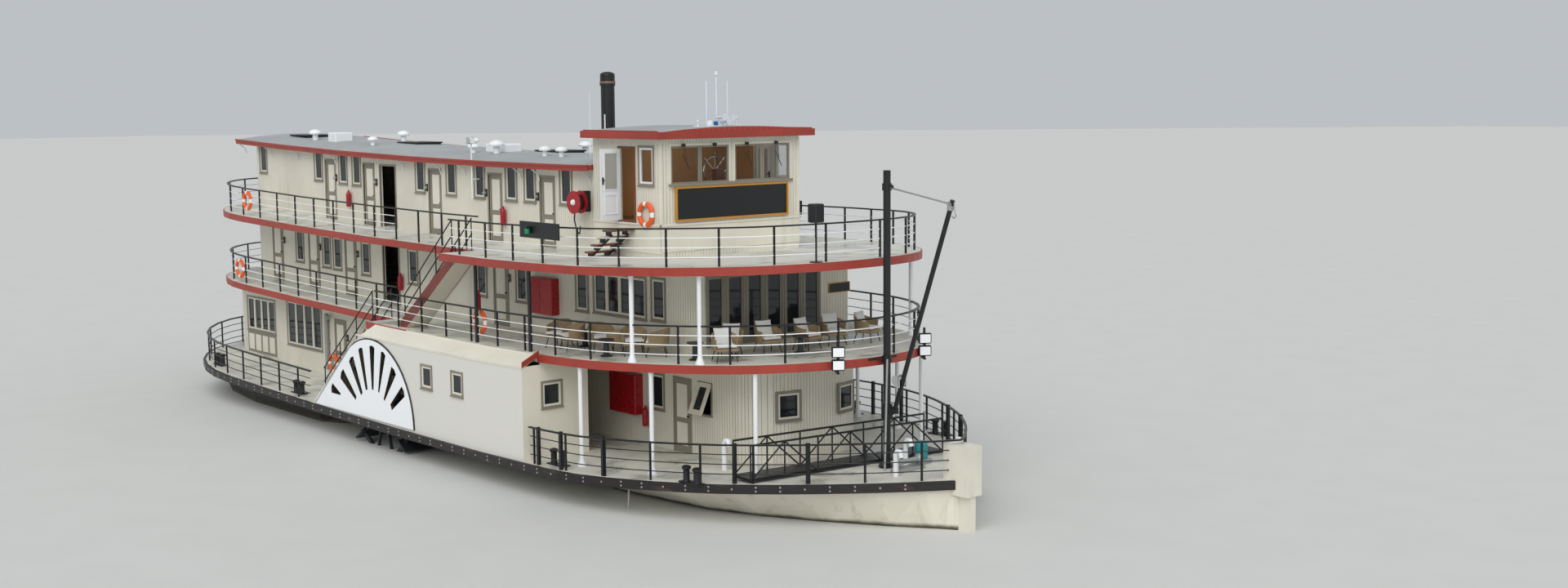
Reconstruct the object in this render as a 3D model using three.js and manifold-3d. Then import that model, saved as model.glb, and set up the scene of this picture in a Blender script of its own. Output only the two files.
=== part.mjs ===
// A three-deck side-wheel paddle steamer for rivers and lakes, afloat, at its real size.
// Units are millimetres. +X is forward, +Y is to port and +Z is up.
// The origin is amidships, on the centreline, at the waterline.
import * as THREE from 'three'
import { mergeVertices } from 'three/addons/utils/BufferGeometryUtils.js'
import Module from 'manifold-3d'

const wasm = await Module()
wasm.setup()

// Driving dimensions
const SEAT = 0.3 // gap between a piece and what carries it
const CLEARANCE = 6 // running gap round a moving piece
const WALL = 80 // thickness of every house wall
const SIDES = [-1, 1] // starboard and port

// Decks: top of the plating at the lowest point of the sheer, plate thickness and outline.
// bow and stern are rounded ends: half width, where the rounding starts, its length and two exponents.
// Where a step is given, the deck is wide forward of stepX and narrow aft of it.
const DECKS = {
  main: {
    top: 870,
    plate: 120,
    bow: { half: 6000, start: 8200, length: 9900, q: 1.88, p: 1.11 },
    stern: { half: 6000, start: -11300, length: 7200, q: 2.2, p: 2.3 },
  },
  second: {
    top: 3770,
    plate: 100,
    stepX: -2300,
    bow: { half: 5400, start: 6500, length: 8650, q: 2.2, p: 2.0 },
    stern: { half: 4400, start: -13300, length: 4600, q: 2.5, p: 2.5 },
  },
  third: {
    top: 6270,
    plate: 100,
    stepX: 2600,
    bow: { half: 5600, start: 6600, length: 8000, q: 2.15, p: 2.26 },
    stern: { half: 4400, start: -13300, length: 4600, q: 2.5, p: 2.5 },
  },
}
const BOW_STEPS = 18
const STERN_STEPS = 9
const FASCIA = { thick: 30, depth: 220 }
const STRAKE = { thick: 90, depth: 230 }

// Sheer: every deck rises towards the ends from its lowest point, faster forward.
const SHEER = { lowest: 2930, aft: 1.0e-6, forward: 1.8e-6 }
const STATIONS = [-18600, -13500, -9000, -4000, 500, 5000, 9500, 13500, 18600]

// Railings
const RAIL = { height: 1000, top: [70, 40], bar: 30, post: 45, edge: 190, spacing: 1400 }

// Deckhouses: half width, aft end and forward end
const HOUSE_1 = { half: 3150, aft: -16300, step: 2700, frontHalf: 2000, noseStart: 11300, front: 12700 }
const HOUSE_2 = { half: 2700, aft: -15500, front: 11000 }
const CABIN = { half: 2330, aft: -16300, front: 6000, top: 8640 }
const PILOT = { half: 2520, aft: 6030, front: 9140, floor: 7300, top: 9540 }
const CABIN_ROOF = { aft: -17300, front: 5990, half: 2680, edge: 130, camber: 190 }
const PILOT_ROOF = { aft: 5930, front: 9450, half: 2850, edge: 150, camber: 130 }

// Paddles
const SHAFT = { x: -1150, z: 1220, radius: 110, sides: 12 }
const WHEEL = { radius: 1900, inner: 3950, outer: 5680, floats: 10, floatDepth: 520, rim: 90 }
const BOX = {
  inner: 3750, outer: 5900, wall: 60, front: 7300, footX: -5150, topX: -1400, top: 3740, eave: 3470,
}
const FAN = { x: -1050, z: 930, radius: 2520, thick: 40, turned: 130, aft: -4900 }
const FAN_SLOTS = [
  // outer radius, its angle, outer width, inner radius, its angle, inner width
  [2700, 165.5, 330, 2120, 165.3, 60],
  [2270, 147.6, 380, 1160, 152.2, 136],
  [2160, 125.9, 345, 970, 131.5, 150],
  [2220, 106.6, 280, 950, 109.4, 130],
  [2270, 87.4, 310, 950, 86.1, 110],
  [2285, 69.5, 280, 1010, 64.5, 80],
  [2200, 50.2, 340, 1040, 43.3, 80],
  [2240, 30.1, 330, 1295, 24.9, 190],
]

// Derrick on the foredeck
const MAST = { x: 15290, radius: 95, top: 8830 }
const BOOM = { footX: 15560, footZ: 2670, headX: 17560, headZ: 8160, radius: 62 }

// Rudder, hung under the counter on its stock
const RUDDER = {
  x: -15600, bottom: -950, top: -520, aft: 1250, fore: 200, thick: 60, stock: 60, stockTop: 200,
}

// Paints and finishes
const finish = (color, roughness = 0.6, metalness = 0) =>
  new THREE.MeshStandardMaterial({ color, roughness, metalness })
const PAINT = {
  cream: finish(0xe6e0cd),
  deck: finish(0xd2d2c8, 0.75),
  red: finish(0x9c3a2e),
  black: finish(0x1c1b1c, 0.5),
  hull: finish(0x24211f, 0.55),
  timber: finish(0x6b4a33),
  roof: finish(0xa9abab, 0.5, 0.3),
  white: finish(0xe9ecec, 0.4),
  steel: finish(0x55585a, 0.5, 0.6),
}

// Turns a closed three.js geometry into a solid that can be cut and joined.
function solid(geometry) {
  geometry.deleteAttribute('normal')
  geometry.deleteAttribute('uv')
  const merged = mergeVertices(geometry, 1e-3)
  return fromArrays(merged.attributes.position.array, merged.index.array)
}

function fromArrays(positions, indices) {
  const vertProperties = new Float32Array(positions)
  const triVerts = new Uint32Array(indices)
  return new wasm.Manifold(new wasm.Mesh({ numProp: 3, vertProperties, triVerts }))
}

function box(x0, x1, y0, y1, z0, z1) {
  const low = [Math.min(x0, x1), Math.min(y0, y1), Math.min(z0, z1)]
  const high = [Math.max(x0, x1), Math.max(y0, y1), Math.max(z0, z1)]
  const geometry = new THREE.BoxGeometry(high[0] - low[0], high[1] - low[1], high[2] - low[2])
  geometry.translate((low[0] + high[0]) / 2, (low[1] + high[1]) / 2, (low[2] + high[2]) / 2)
  return solid(geometry)
}

// Axes of a drawn outline: its first, its second and the direction it is extruded in.
const vector = (x, y, z) => new THREE.Vector3(x, y, z)
const PLANES = {
  xy: [vector(1, 0, 0), vector(0, 1, 0), vector(0, 0, 1)],
  xz: [vector(1, 0, 0), vector(0, 0, 1), vector(0, -1, 0)],
  yz: [vector(0, 1, 0), vector(0, 0, 1), vector(1, 0, 0)],
}

// Extrudes an outline drawn in one plane between two places along the third axis.
function prism(plane, points, from, to) {
  const shape = new THREE.Shape(points.map(([a, b]) => new THREE.Vector2(a, b)))
  const depth = Math.abs(to - from)
  const geometry = new THREE.ExtrudeGeometry(shape, { depth, bevelEnabled: false, steps: 1 })
  const [first, second, third] = PLANES[plane]
  const start = plane === 'xz' ? Math.max(from, to) : Math.min(from, to)
  const matrix = new THREE.Matrix4().makeBasis(first, second, third)
  matrix.setPosition(third.clone().multiplyScalar(plane === 'xz' ? -start : start))
  geometry.applyMatrix4(matrix)
  return solid(geometry)
}

// A round bar between two points; turned by half a facet, its flats face along the axes.
function bar(start, end, radius, sides = 12) {
  const from = vector(...start)
  const along = vector(...end).sub(from)
  const geometry = new THREE.CylinderGeometry(radius, radius, along.length(), sides)
  geometry.rotateY(Math.PI / sides)
  const turn = new THREE.Quaternion().setFromUnitVectors(vector(0, 1, 0), along.clone().normalize())
  geometry.applyQuaternion(turn)
  const middle = from.add(along.multiplyScalar(0.5))
  geometry.translate(middle.x, middle.y, middle.z)
  return solid(geometry)
}

// The radius of a twelve-sided bore that a twelve-sided bar of this radius turns in
const runningBore = (radius) => (radius + SEAT) / Math.cos(Math.PI / 12)

const joined = (parts) => parts.reduce((whole, part) => whole.add(part))
const without = (body, cutters) => cutters.reduce((rest, cutter) => rest.subtract(cutter), body)
const range = (count) => Array.from({ length: count }, (_, index) => index)

// The rise of every deck at x, straight between the stations.
function curveRise(x) {
  const along = x - SHEER.lowest
  return (along < 0 ? SHEER.aft : SHEER.forward) * along * along
}

function rise(x) {
  const last = STATIONS.length - 1
  const found = STATIONS.findIndex((station) => station > x)
  const next = Math.min(Math.max(found < 0 ? last : found, 1), last)
  const [a, b] = [STATIONS[next - 1], STATIONS[next]]
  return curveRise(a) + ((curveRise(b) - curveRise(a)) * (x - a)) / (b - a)
}

// Divides a solid's triangles at one station, so that it can bend there.
function divide(points, triangles, station) {
  const cuts = new Map()
  const side = (index) => Math.sign(Math.round((points[index][0] - station) * 100))
  const cut = (a, b) => {
    const key = a < b ? `${a}_${b}` : `${b}_${a}`
    if (!cuts.has(key)) {
      const share = (station - points[a][0]) / (points[b][0] - points[a][0])
      points.push([station, ...[1, 2].map((k) => points[a][k] + share * (points[b][k] - points[a][k]))])
      cuts.set(key, points.length - 1)
    }
    return cuts.get(key)
  }
  const result = []
  for (const triangle of triangles) {
    const sides = triangle.map(side)
    if (!sides.includes(1) || !sides.includes(-1)) {
      result.push(triangle)
      continue
    }
    // The lone corner comes first: the one that lies on the plane, or alone on its side.
    const flat = sides.indexOf(0)
    const lone = flat >= 0 ? flat : sides.findIndex((value) => sides.filter((s) => s === value).length === 1)
    const [a, b, c] = range(3).map((step) => triangle[(lone + step) % 3])
    if (flat >= 0) {
      const p = cut(b, c)
      result.push([a, b, p], [a, p, c])
    } else {
      const [p, q] = [cut(a, b), cut(a, c)]
      result.push([a, p, q], [p, b, c], [p, c, q])
    }
  }
  return result
}

// Bends a solid that was drawn level so that it follows the sheer.
function sheered(shape) {
  const { vertProperties, triVerts } = shape.getMesh()
  const triples = (list) => range(list.length / 3).map((i) => Array.from(list.slice(3 * i, 3 * i + 3)))
  const points = triples(vertProperties)
  let triangles = triples(triVerts)
  for (const station of STATIONS) triangles = divide(points, triangles, station)
  return fromArrays(points.flatMap(([x, y, z]) => [x, y, z + rise(x)]), triangles.flat())
}

// One end of a deck, from the centreline to the side or back, as points of a rounded curve.
function roundedEnd(end, inset, steps, direction) {
  return range(steps + 1).map((step) => {
    const angle = (Math.PI / 2) * (1 - step / steps)
    const along = Math.sin(angle) ** (2 / end.q)
    const across = Math.max(Math.cos(angle), 0) ** (2 / end.p)
    const y = step === 0 ? 0 : (end.half - inset) * across
    return [end.start + direction * (end.length - inset * 1.2) * along, y]
  })
}

// The whole outline of a deck, moved in by inset.
function outline(deck, inset = 0) {
  const bow = roundedEnd(deck.bow, inset, BOW_STEPS, 1)
  const stern = roundedEnd(deck.stern, inset, STERN_STEPS, -1).reverse()
  const step = deck.stepX === undefined ? [] : [
    [deck.stepX + inset, deck.bow.half - inset],
    [deck.stepX + inset, deck.stern.half - inset],
  ]
  const port = [...bow, ...step, ...stern]
  const starboard = port.slice(1, -1).reverse().map(([x, y]) => [x, -y])
  return [...port, ...starboard]
}

function ring(deck, outerInset, innerInset, bottom, top) {
  const outer = prism('xy', outline(deck, outerInset), bottom, top)
  return outer.subtract(prism('xy', outline(deck, innerInset), bottom - 10, top + 10))
}

// Points spaced evenly along the outline, each with how far along it lies.
function postPlaces(deck, inset, spacing) {
  const points = outline(deck, inset)
  const places = []
  let left = spacing / 2
  points.forEach(([x, y], index) => {
    const [nextX, nextY] = points[(index + 1) % points.length]
    const length = Math.hypot(nextX - x, nextY - y)
    while (left < length) {
      const share = left / length
      places.push([x + (nextX - x) * share, y + (nextY - y) * share])
      left += spacing
    }
    left -= length
  })
  return places
}

// The group and how a piece joins it
const steamer = new THREE.Group()

function place(name, shape, material) {
  const { vertProperties, triVerts } = shape.getMesh()
  const geometry = new THREE.BufferGeometry()
  geometry.setAttribute('position', new THREE.BufferAttribute(vertProperties, 3))
  geometry.setIndex(new THREE.BufferAttribute(triVerts, 1))
  geometry.computeVertexNormals()
  const mesh = new THREE.Mesh(geometry, material)
  mesh.name = name
  steamer.add(mesh)
  return mesh
}

const sideName = (side) => (side < 0 ? 'starboard' : 'port')

// Hull sections: place along the hull, keel, bilge half width and height, half widths at water and deck.
const HULL_SECTIONS = [
  // x, keel, bilgeHalf, bilge, waterHalf, deckHalf
  [-17800, 150, 900, 200, 1100, 2300],
  [-16600, -150, 2200, -50, 3300, 4000],
  [-14500, -600, 3000, -450, 4500, 4900],
  [-11500, -950, 3300, -800, 4950, 5150],
  [-6500, -1000, 3300, -880, 4950, 5150],
  [-3900, -1000, 3100, -900, 3600, 3650],
  [2000, -1000, 3100, -900, 3650, 3680],
  [8500, -1000, 2900, -900, 3650, 3900],
  [12000, -1000, 2300, -880, 3250, 4650],
  [13500, -1000, 1750, -860, 2700, 4080],
  [15000, -1000, 1100, -840, 1950, 3050],
  [16500, -980, 500, -820, 1050, 1750],
  [17400, -960, 180, -800, 420, 820],
  [17900, -900, 90, -780, 100, 130],
]

function hull() {
  const top = DECKS.main.top - DECKS.main.plate - SEAT
  const rings = HULL_SECTIONS.map(([x, keel, bilgeHalf, bilge, waterHalf, deckHalf]) => {
    const lift = rise(x)
    const half = [[bilgeHalf, bilge - lift], [waterHalf, -lift], [deckHalf, top]]
    const port = half.map(([y, z]) => [x, y, z])
    const starboard = half.map(([y, z]) => [x, -y, z]).reverse()
    return [[x, 0, keel - lift], ...port, ...starboard]
  })
  const count = rings[0].length
  const indices = []
  for (const section of range(rings.length - 1)) {
    for (const corner of range(count)) {
      const next = (corner + 1) % count
      const [a, b] = [section * count + corner, section * count + next]
      indices.push(a, b, a + count, b, b + count, a + count)
    }
  }
  for (const corner of range(count - 2)) {
    indices.push(0, corner + 2, corner + 1)
    const first = (rings.length - 1) * count
    indices.push(first, first + corner + 1, first + corner + 2)
  }
  const inside = prism('xy', outline(DECKS.main, STRAKE.thick + SEAT), -2000, 2000)
  return fromArrays(rings.flat().flat(), indices).intersect(inside)
}

// The boxed stem head stands over the bow and its post runs down the front of the hull.
const STEM = {
  aft: 17520, front: 18330, half: 260, top: 2150, foot: 900, postAft: 17900.3, postHalf: 110, keel: -900,
}

function stemHead() {
  const head = box(STEM.aft, STEM.front, -STEM.half, STEM.half, STEM.foot, STEM.top)
  const post = box(STEM.postAft, STEM.front - 60, -STEM.postHalf, STEM.postHalf, STEM.keel, STEM.foot + 50)
  return head.add(post)
}

const stemRoom = () => box(
  STEM.aft - SEAT, STEM.front + 400, -STEM.half - SEAT, STEM.half + SEAT, STEM.foot - SEAT, 3000)

// Deck plates with their railing posts, and the trim round their edges
const WELL = { aft: SHAFT.x - 2010, front: SHAFT.x + 2010, inner: BOX.inner + 60, outer: BOX.outer - 100 }
const STAIR_UP = { aft: -500, front: 2600 - SEAT, inner: 4420, outer: 5130 }
const STAIR_LOW = { aft: -5950, front: -2300 - SEAT, inner: 4420, outer: 5130 }

function mainDeck() {
  const deck = DECKS.main
  const plate = prism('xy', outline(deck, STRAKE.thick + SEAT), deck.top - deck.plate, deck.top)
  const wells = SIDES.map((side) => box(
    WELL.aft, WELL.front, side * WELL.inner, side * WELL.outer, deck.top - 200, deck.top + 10))
  return sheered(without(plate, wells)).subtract(stemRoom())
}

function strake() {
  const deck = DECKS.main
  const band = ring(deck, 0, STRAKE.thick, deck.top - STRAKE.depth, deck.top)
  return sheered(band).subtract(stemRoom())
}

// Posts that carry the next deck: their places along the ship and their inset from a deck's edge
const POSTS = { radius: 55, underSecond: [8900, 11200, 13600], underThird: [3950, 6700, 10600, 12400] }

// Half breadth of a deck's forward part at x, moved in by inset
function breadthAt(deck, x, inset) {
  const points = outline(deck, inset)
  const next = points.findIndex((point) => point[0] < x)
  const [[x0, y0], [x1, y1]] = [points[next - 1], points[next]]
  return y0 + ((y1 - y0) * (x - x0)) / (x1 - x0)
}

function tallPosts(places, edgeDeck, inset, bottom, top) {
  return places.flatMap((x) => SIDES.map((side) => {
    const y = side * breadthAt(edgeDeck, x, inset)
    const foot = bottom + SEAT + rise(x + POSTS.radius)
    return bar([x, y, foot], [x, y, top + rise(x - POSTS.radius)], POSTS.radius, 8)
  }))
}

function upperDeck(deck, hangers) {
  const plate = prism('xy', outline(deck, FASCIA.thick + SEAT), deck.top - deck.plate, deck.top)
  return joined([sheered(plate), ...hangers])
}

const fascia = (deck) => sheered(ring(deck, 0, FASCIA.thick, deck.top - FASCIA.depth, deck.top))

// A railing is cut from one ring round its deck and stands on its posts.
function railing(deck, from, to, tall) {
  const { height, top, post, edge, spacing } = RAIL
  const keep = box(from, to, -9000, 9000, deck.top, deck.top + 2000)
  const band = ring(deck, edge - top[0] / 2, edge + top[0] / 2, deck.top + height - top[1], deck.top + height)
  const posts = postPlaces(deck, edge, spacing)
    .filter(([x]) => x > from + post && x < to - post)
    .map(([x, y]) => box(
      x - post / 2, x + post / 2, y - post / 2, y + post / 2, SEAT, height - top[1] / 2,
    ).translate([0, 0, deck.top + Math.max(rise(x - post / 2), rise(x + post / 2))]))
  return joined([sheered(band.intersect(keep)), ...posts, ...tall])
}

// House walls and their openings
// Rows of openings in a side wall: centre, width, sill above the deck, height
const HOUSE_1_SIDE = [
  [-14700, 2300, 900, 1200],
  [-11180, 2650, 780, 1550],
]
const HOUSE_1_FRONT_SIDE = [
  [8200, 550, 1100, 950],
  [10320, 520, 1150, 850],
]
const HOUSE_2_SIDE = [
  [-12220, 560, 850, 1100],
  [-10140, 560, 850, 1100],
  [-9330, 560, 850, 1100],
  [-7250, 560, 850, 1100],
  [-5500, 1050, 0, 2080],
  [-4050, 560, 850, 1100],
  [180, 560, 850, 1100],
  [2450, 560, 850, 1100],
  [5600, 560, 850, 1100],
  [7420, 2420, 850, 1100],
  [9210, 560, 850, 1100],
]
const CABIN_SIDE = [
  [-15750, 560, 1350, 1050],
  [-11260, 560, 1350, 1050],
  [-9400, 560, 1350, 1050],
  [-8420, 560, 1350, 1050],
  [-6220, 1020, 0, 2080],
  [-4050, 560, 1350, 1050],
  [-2090, 560, 1350, 1050],
  [-380, 560, 1350, 1050],
  [1430, 560, 1350, 1050],
  [2460, 560, 1350, 1050],
  [4360, 560, 1350, 1050],
]

// The saloon's six folding glazed doors, as panes in its front wall: y, width, sill, height
const SALOON_DOORS = range(6).map((i) => [-2160 + i * 692, 560, 260, 1800])

// Doorways with doors: centre of the doorway
const DOOR = { width: 700, height: 2080, thick: 40, knuckle: 8 }
const CABIN_DOORS = [-10350, -7550, -3120, 500, 3390]

function openingCutter(side, half, deckTop, [x, width, sill, height]) {
  const bottom = deckTop + rise(x) + (sill > 0 ? sill : -400)
  const top = deckTop + rise(x) + sill + height
  return box(x - width / 2, x + width / 2, side * (half - WALL - 60), side * (half + 60), bottom, top)
}

function sideWall(side, house, deck, top, openings, doors) {
  const wall = sheered(box(
    house.aft, house.front, side * (house.half - WALL), side * house.half, deck.top + SEAT, top))
  const doorways = doors.map((x) => [x, DOOR.width, 0, DOOR.height])
  const cutters = [...openings, ...doorways].map((row) => openingCutter(side, house.half, deck.top, row))
  return without(wall, cutters)
}

// A cross wall fits between two side walls; its openings are: y, width, sill, height.
function crossWall(x0, x1, half, bottom, top, openings) {
  const wall = sheered(box(x0, x1, -(half - WALL - SEAT), half - WALL - SEAT, bottom + SEAT, top))
  const lift = rise((x0 + x1) / 2)
  const cutters = openings.map(([y, width, sill, height]) => box(
    x0 - 50, x1 + 50, y - width / 2, y + width / 2,
    bottom + lift + (sill > 0 ? sill : -400), bottom + lift + sill + height))
  return without(wall, cutters)
}

const underSecond = DECKS.second.top - DECKS.second.plate - SEAT
const underThird = DECKS.third.top - DECKS.third.plate - SEAT
const underRoof = CABIN.top - SEAT

// The forward part of the lowest house: two flanges, two straight sides and a rounded front
function house1Front() {
  const { step, frontHalf, noseStart, front, half } = HOUSE_1
  const noseSteps = 6
  const wallOutline = (inset) => {
    const nose = range(noseSteps + 1).map((i) => {
      const angle = (Math.PI / 2) * (i / noseSteps)
      const x = noseStart + (front - noseStart - inset) * Math.sin(angle)
      return [x, (frontHalf - inset) * Math.cos(angle) ** 0.5]
    })
    const port = [[step + SEAT, frontHalf - inset], ...nose.slice(0, -1)]
    return [...port, [front - inset, 0], ...port.map(([x, y]) => [x, -y]).reverse()]
  }
  const bottom = DECKS.main.top + SEAT
  const outer = prism('xy', wallOutline(0), bottom, underSecond)
  const inner = prism('xy', wallOutline(WALL), bottom - 10, underSecond + 10)
  const mouth = box(
    step - 10, step + WALL, -(frontHalf - WALL), frontHalf - WALL, bottom - 10, underSecond + 10)
  const flanges = SIDES.map((side) => box(
    step + SEAT, step + WALL, side * (frontHalf - 10), side * half, bottom, underSecond))
  const walls = sheered(joined([without(outer, [inner, mouth]), ...flanges]))
  const sideCuts = SIDES.flatMap((side) => HOUSE_1_FRONT_SIDE.map((row) => openingCutter(
    side, frontHalf, DECKS.main.top, row)))
  const deckTop = DECKS.main.top + rise(front)
  const windows = [-1050, 1050].map((y) => box(
    front - 900, front + 50, y - 330, y + 330, deckTop + 1150, deckTop + 1850))
  const doorways = SIDES.map((side) => box(
    step - 10, step + WALL + 10, side * 2180, side * 2960, bottom - 300, DECKS.main.top + 2080))
  return without(walls, [...sideCuts, ...windows, ...doorways])
}

// Doors
// A leaf seen from above, drawn from its hinge at 0, 0 along +x, with its thickness towards -y.
function doorLeaf(width, thick, height) {
  const { knuckle } = DOOR
  const round = range(7).map((i) => {
    const angle = (Math.PI / 4) * i
    return [knuckle * Math.cos(angle), knuckle * Math.sin(angle)]
  })
  const points = [[width, 0], ...round, [0, -thick], [width, -thick]]
  return prism('xy', points, 0, height)
}

// Where a door's hinge stands: its doorway's aft edge, on the face that it opens towards.
function hingeAt(x, width) {
  return x - width / 2 + DOOR.knuckle + 0.5
}

// A cabin door opens inwards; turned is its angle as drawn, in degrees.
function hungDoor({ side, x, width, faceY, bottom, height, inward, turned = 0 }) {
  const hingeX = hingeAt(x, width)
  const leafWidth = width - DOOR.knuckle - 0.5 - CLEARANCE
  const lift = Math.max(rise(x - width / 2), rise(x + width / 2))
  const towards = inward ? -side : side
  let geometry = doorLeaf(leafWidth, DOOR.thick, height - 2 * CLEARANCE - (lift - rise(x)))
  if (towards < 0) geometry = geometry.mirror([0, 1, 0])
  return geometry.rotate([0, 0, turned]).translate([hingeX, faceY, bottom + lift + CLEARANCE])
}

// Hull and decks
const rudderTrunk = bar(
  [RUDDER.x, 0, RUDDER.top], [RUDDER.x, 0, RUDDER.stockTop + SEAT], runningBore(RUDDER.stock), 12)
place('hull', without(sheered(hull()), [stemRoom(), rudderTrunk]), PAINT.hull)
place('stem_head', stemHead(), PAINT.cream)
place('main_deck', mainDeck(), PAINT.deck)
place('rubbing_strake', strake(), PAINT.hull)
const hangers = tallPosts(
  POSTS.underSecond, DECKS.second, POSTS.radius + 70,
  DECKS.main.top, DECKS.second.top - DECKS.second.plate + 20)
place('deck_2', upperDeck(DECKS.second, hangers), PAINT.deck)
place('deck_3', upperDeck(DECKS.third, []), PAINT.deck)
place('deck_2_fascia', fascia(DECKS.second), PAINT.red)
place('deck_3_fascia', fascia(DECKS.third), PAINT.red)

// Railings, one for each end of each deck
const sternmost = -20000
const foremost = 20000
const carriers = tallPosts(
  POSTS.underThird, DECKS.second, RAIL.edge, DECKS.second.top, DECKS.third.top - DECKS.third.plate - SEAT)
const RAIL_SPANS = [
  // name, deck, from x, to x, tall posts
  ['bow_rail', DECKS.main, BOX.front + 160, foremost, []],
  ['stern_rail', DECKS.main, sternmost, BOX.footX - 250, []],
  ['deck_2_rail_forward', DECKS.second, DECKS.second.stepX + 300, foremost, carriers],
  ['deck_2_rail_aft', DECKS.second, sternmost, DECKS.second.stepX - 100, []],
  ['deck_3_rail_forward', DECKS.third, DECKS.third.stepX + 300, foremost, []],
  ['deck_3_rail_aft', DECKS.third, sternmost, DECKS.third.stepX - 100, []],
]
for (const [name, deck, from, to, tall] of RAIL_SPANS) place(name, railing(deck, from, to, tall), PAINT.black)

// Houses
for (const side of SIDES) {
  const name = sideName(side)
  const lowest = { ...HOUSE_1, front: HOUSE_1.step }
  const shaftHole = bar([SHAFT.x, side * 2900, SHAFT.z], [SHAFT.x, side * 3400, SHAFT.z], SHAFT.radius + 60)
  const low = sideWall(side, lowest, DECKS.main, underSecond, HOUSE_1_SIDE, [])
  place(`house_1_${name}`, low.subtract(shaftHole), PAINT.cream)
  place(`house_2_${name}`, sideWall(side, HOUSE_2, DECKS.second, underThird, HOUSE_2_SIDE, []), PAINT.cream)
  place(
    `cabin_${name}`,
    sideWall(side, CABIN, DECKS.third, underRoof, CABIN_SIDE, CABIN_DOORS),
    PAINT.cream,
  )
}
place('house_1_front', house1Front(), PAINT.cream)
const bothSides = (y, ...rest) => [[-y, ...rest], [y, ...rest]]
const CROSS_WALLS = [
  // name, house, aft face, deck, top, openings
  ['house_1_aft', HOUSE_1, HOUSE_1.aft, DECKS.main, underSecond, bothSides(1700, 900, 900, 1000)],
  ['house_2_aft', HOUSE_2, HOUSE_2.aft, DECKS.second, underThird, bothSides(1600, 560, 850, 1100)],
  ['house_2_front', HOUSE_2, HOUSE_2.front - WALL, DECKS.second, underThird, SALOON_DOORS],
  ['cabin_aft', CABIN, CABIN.aft, DECKS.third, underRoof, bothSides(1400, 560, 1350, 1050)],
]
for (const [name, house, aft, deck, top, openings] of CROSS_WALLS) {
  place(name, crossWall(aft, aft + WALL, house.half, deck.top, top, openings), PAINT.cream)
}

// Roofs are flat below and cambered above.
function roof({ aft, front, half, edge, camber }, bottom) {
  const steps = 6
  const crown = range(steps + 1).map((i) => {
    const y = half * (1 - (2 * i) / steps)
    return [y, bottom + edge + camber * (1 - (y / half) ** 2)]
  })
  return prism('yz', [[-half, bottom], [half, bottom], ...crown], aft, front)
}

place('cabin_roof', sheered(roof(CABIN_ROOF, CABIN.top)), PAINT.roof)
place('pilothouse_roof', roof(PILOT_ROOF, PILOT.top + rise(PILOT.front)), PAINT.roof)

// Pilothouse: it stands on deck 3 and its floor is above the deck.
const PILOT_LIFT = rise(PILOT.front)
const PILOT_TOP = PILOT.top + PILOT_LIFT - SEAT
const PILOT_DOOR = { x: 7630, width: 690, height: 2000 }
const PILOT_CASEMENT = { x: 8520, width: 640, sill: 1030, height: 1030 }
const pilotSill = PILOT.floor + 1020

const PILOT_WINDOWS = [[-2180, -90], [90, 2180]]

function pilothouse() {
  const shell = (inset, bottom, top) => box(
    PILOT.aft + inset, PILOT.front - inset, -(PILOT.half - inset), PILOT.half - inset, bottom, top)
  const skirt = sheered(shell(0, DECKS.third.top + SEAT, PILOT.floor))
  const walls = skirt.add(shell(0, PILOT.floor - 100, PILOT_TOP))
  const { x, width, height } = PILOT_DOOR
  const pane = PILOT_CASEMENT
  const reach = PILOT.half + WALL
  const sill = PILOT.floor + 10
  const doorways = box(x - width / 2, x + width / 2, -reach, reach, sill, sill + height)
  const casements = box(
    pane.x - pane.width / 2, pane.x + pane.width / 2, -reach, reach,
    PILOT.floor + pane.sill, PILOT.floor + pane.sill + pane.height)
  const fronts = PILOT_WINDOWS.map(([y0, y1]) => box(
    PILOT.front - 2 * WALL, PILOT.front + WALL, y0, y1, pilotSill, pilotSill + 1080))
  const room = shell(WALL, DECKS.third.top - 500, PILOT_TOP + 500)
  return without(walls, [room, doorways, casements, ...fronts])
}
place('pilothouse_walls', pilothouse(), PAINT.cream)
const floorInset = WALL + SEAT
const consoleBody = box(8620, 8900, -1100, 1100, PILOT.floor - 10, PILOT.floor + 900)
const pedestal = box(8450, 8640, -150, 150, PILOT.floor - 10, PILOT.floor + 1380)
const pilotFloor = box(
  PILOT.aft + floorInset, PILOT.front - floorInset, -(PILOT.half - floorInset), PILOT.half - floorInset,
  PILOT.floor - 60, PILOT.floor)
place('pilothouse_floor', joined([pilotFloor, consoleBody, pedestal]), PAINT.timber)

// The name board's place on the pilothouse front is left plain.
const BOARD = { half: 2010, bottom: 7360, top: 8230, thick: 50 }
const frontBoard = box(
  PILOT.front + SEAT, PILOT.front + BOARD.thick, -BOARD.half, BOARD.half, BOARD.bottom, BOARD.top)
place('front_board', frontBoard, PAINT.black)

// Helm wheel: a rim, a hub and spokes with handles, turning about X
const HELM = { x: 8380, z: 8620, radius: 400, spokes: 8 }
function helmWheel() {
  const rim = new THREE.TorusGeometry(HELM.radius, 20, 4, 16)
  rim.rotateY(Math.PI / 2)
  const centre = [HELM.x, 0, HELM.z]
  rim.translate(...centre)
  const hub = bar([HELM.x - 40, 0, HELM.z], [8450 - SEAT, 0, HELM.z], 60, 8)
  const spokes = range(HELM.spokes / 2).map((i) => {
    const angle = (Math.PI * 2 * i) / HELM.spokes
    const [dy, dz] = [Math.cos(angle) * 520, Math.sin(angle) * 520]
    return bar([HELM.x, -dy, HELM.z - dz], [HELM.x, dy, HELM.z + dz], 14, 4)
  })
  return joined([solid(rim), hub, ...spokes])
}
place('helm_wheel', helmWheel(), PAINT.steel)

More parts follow.
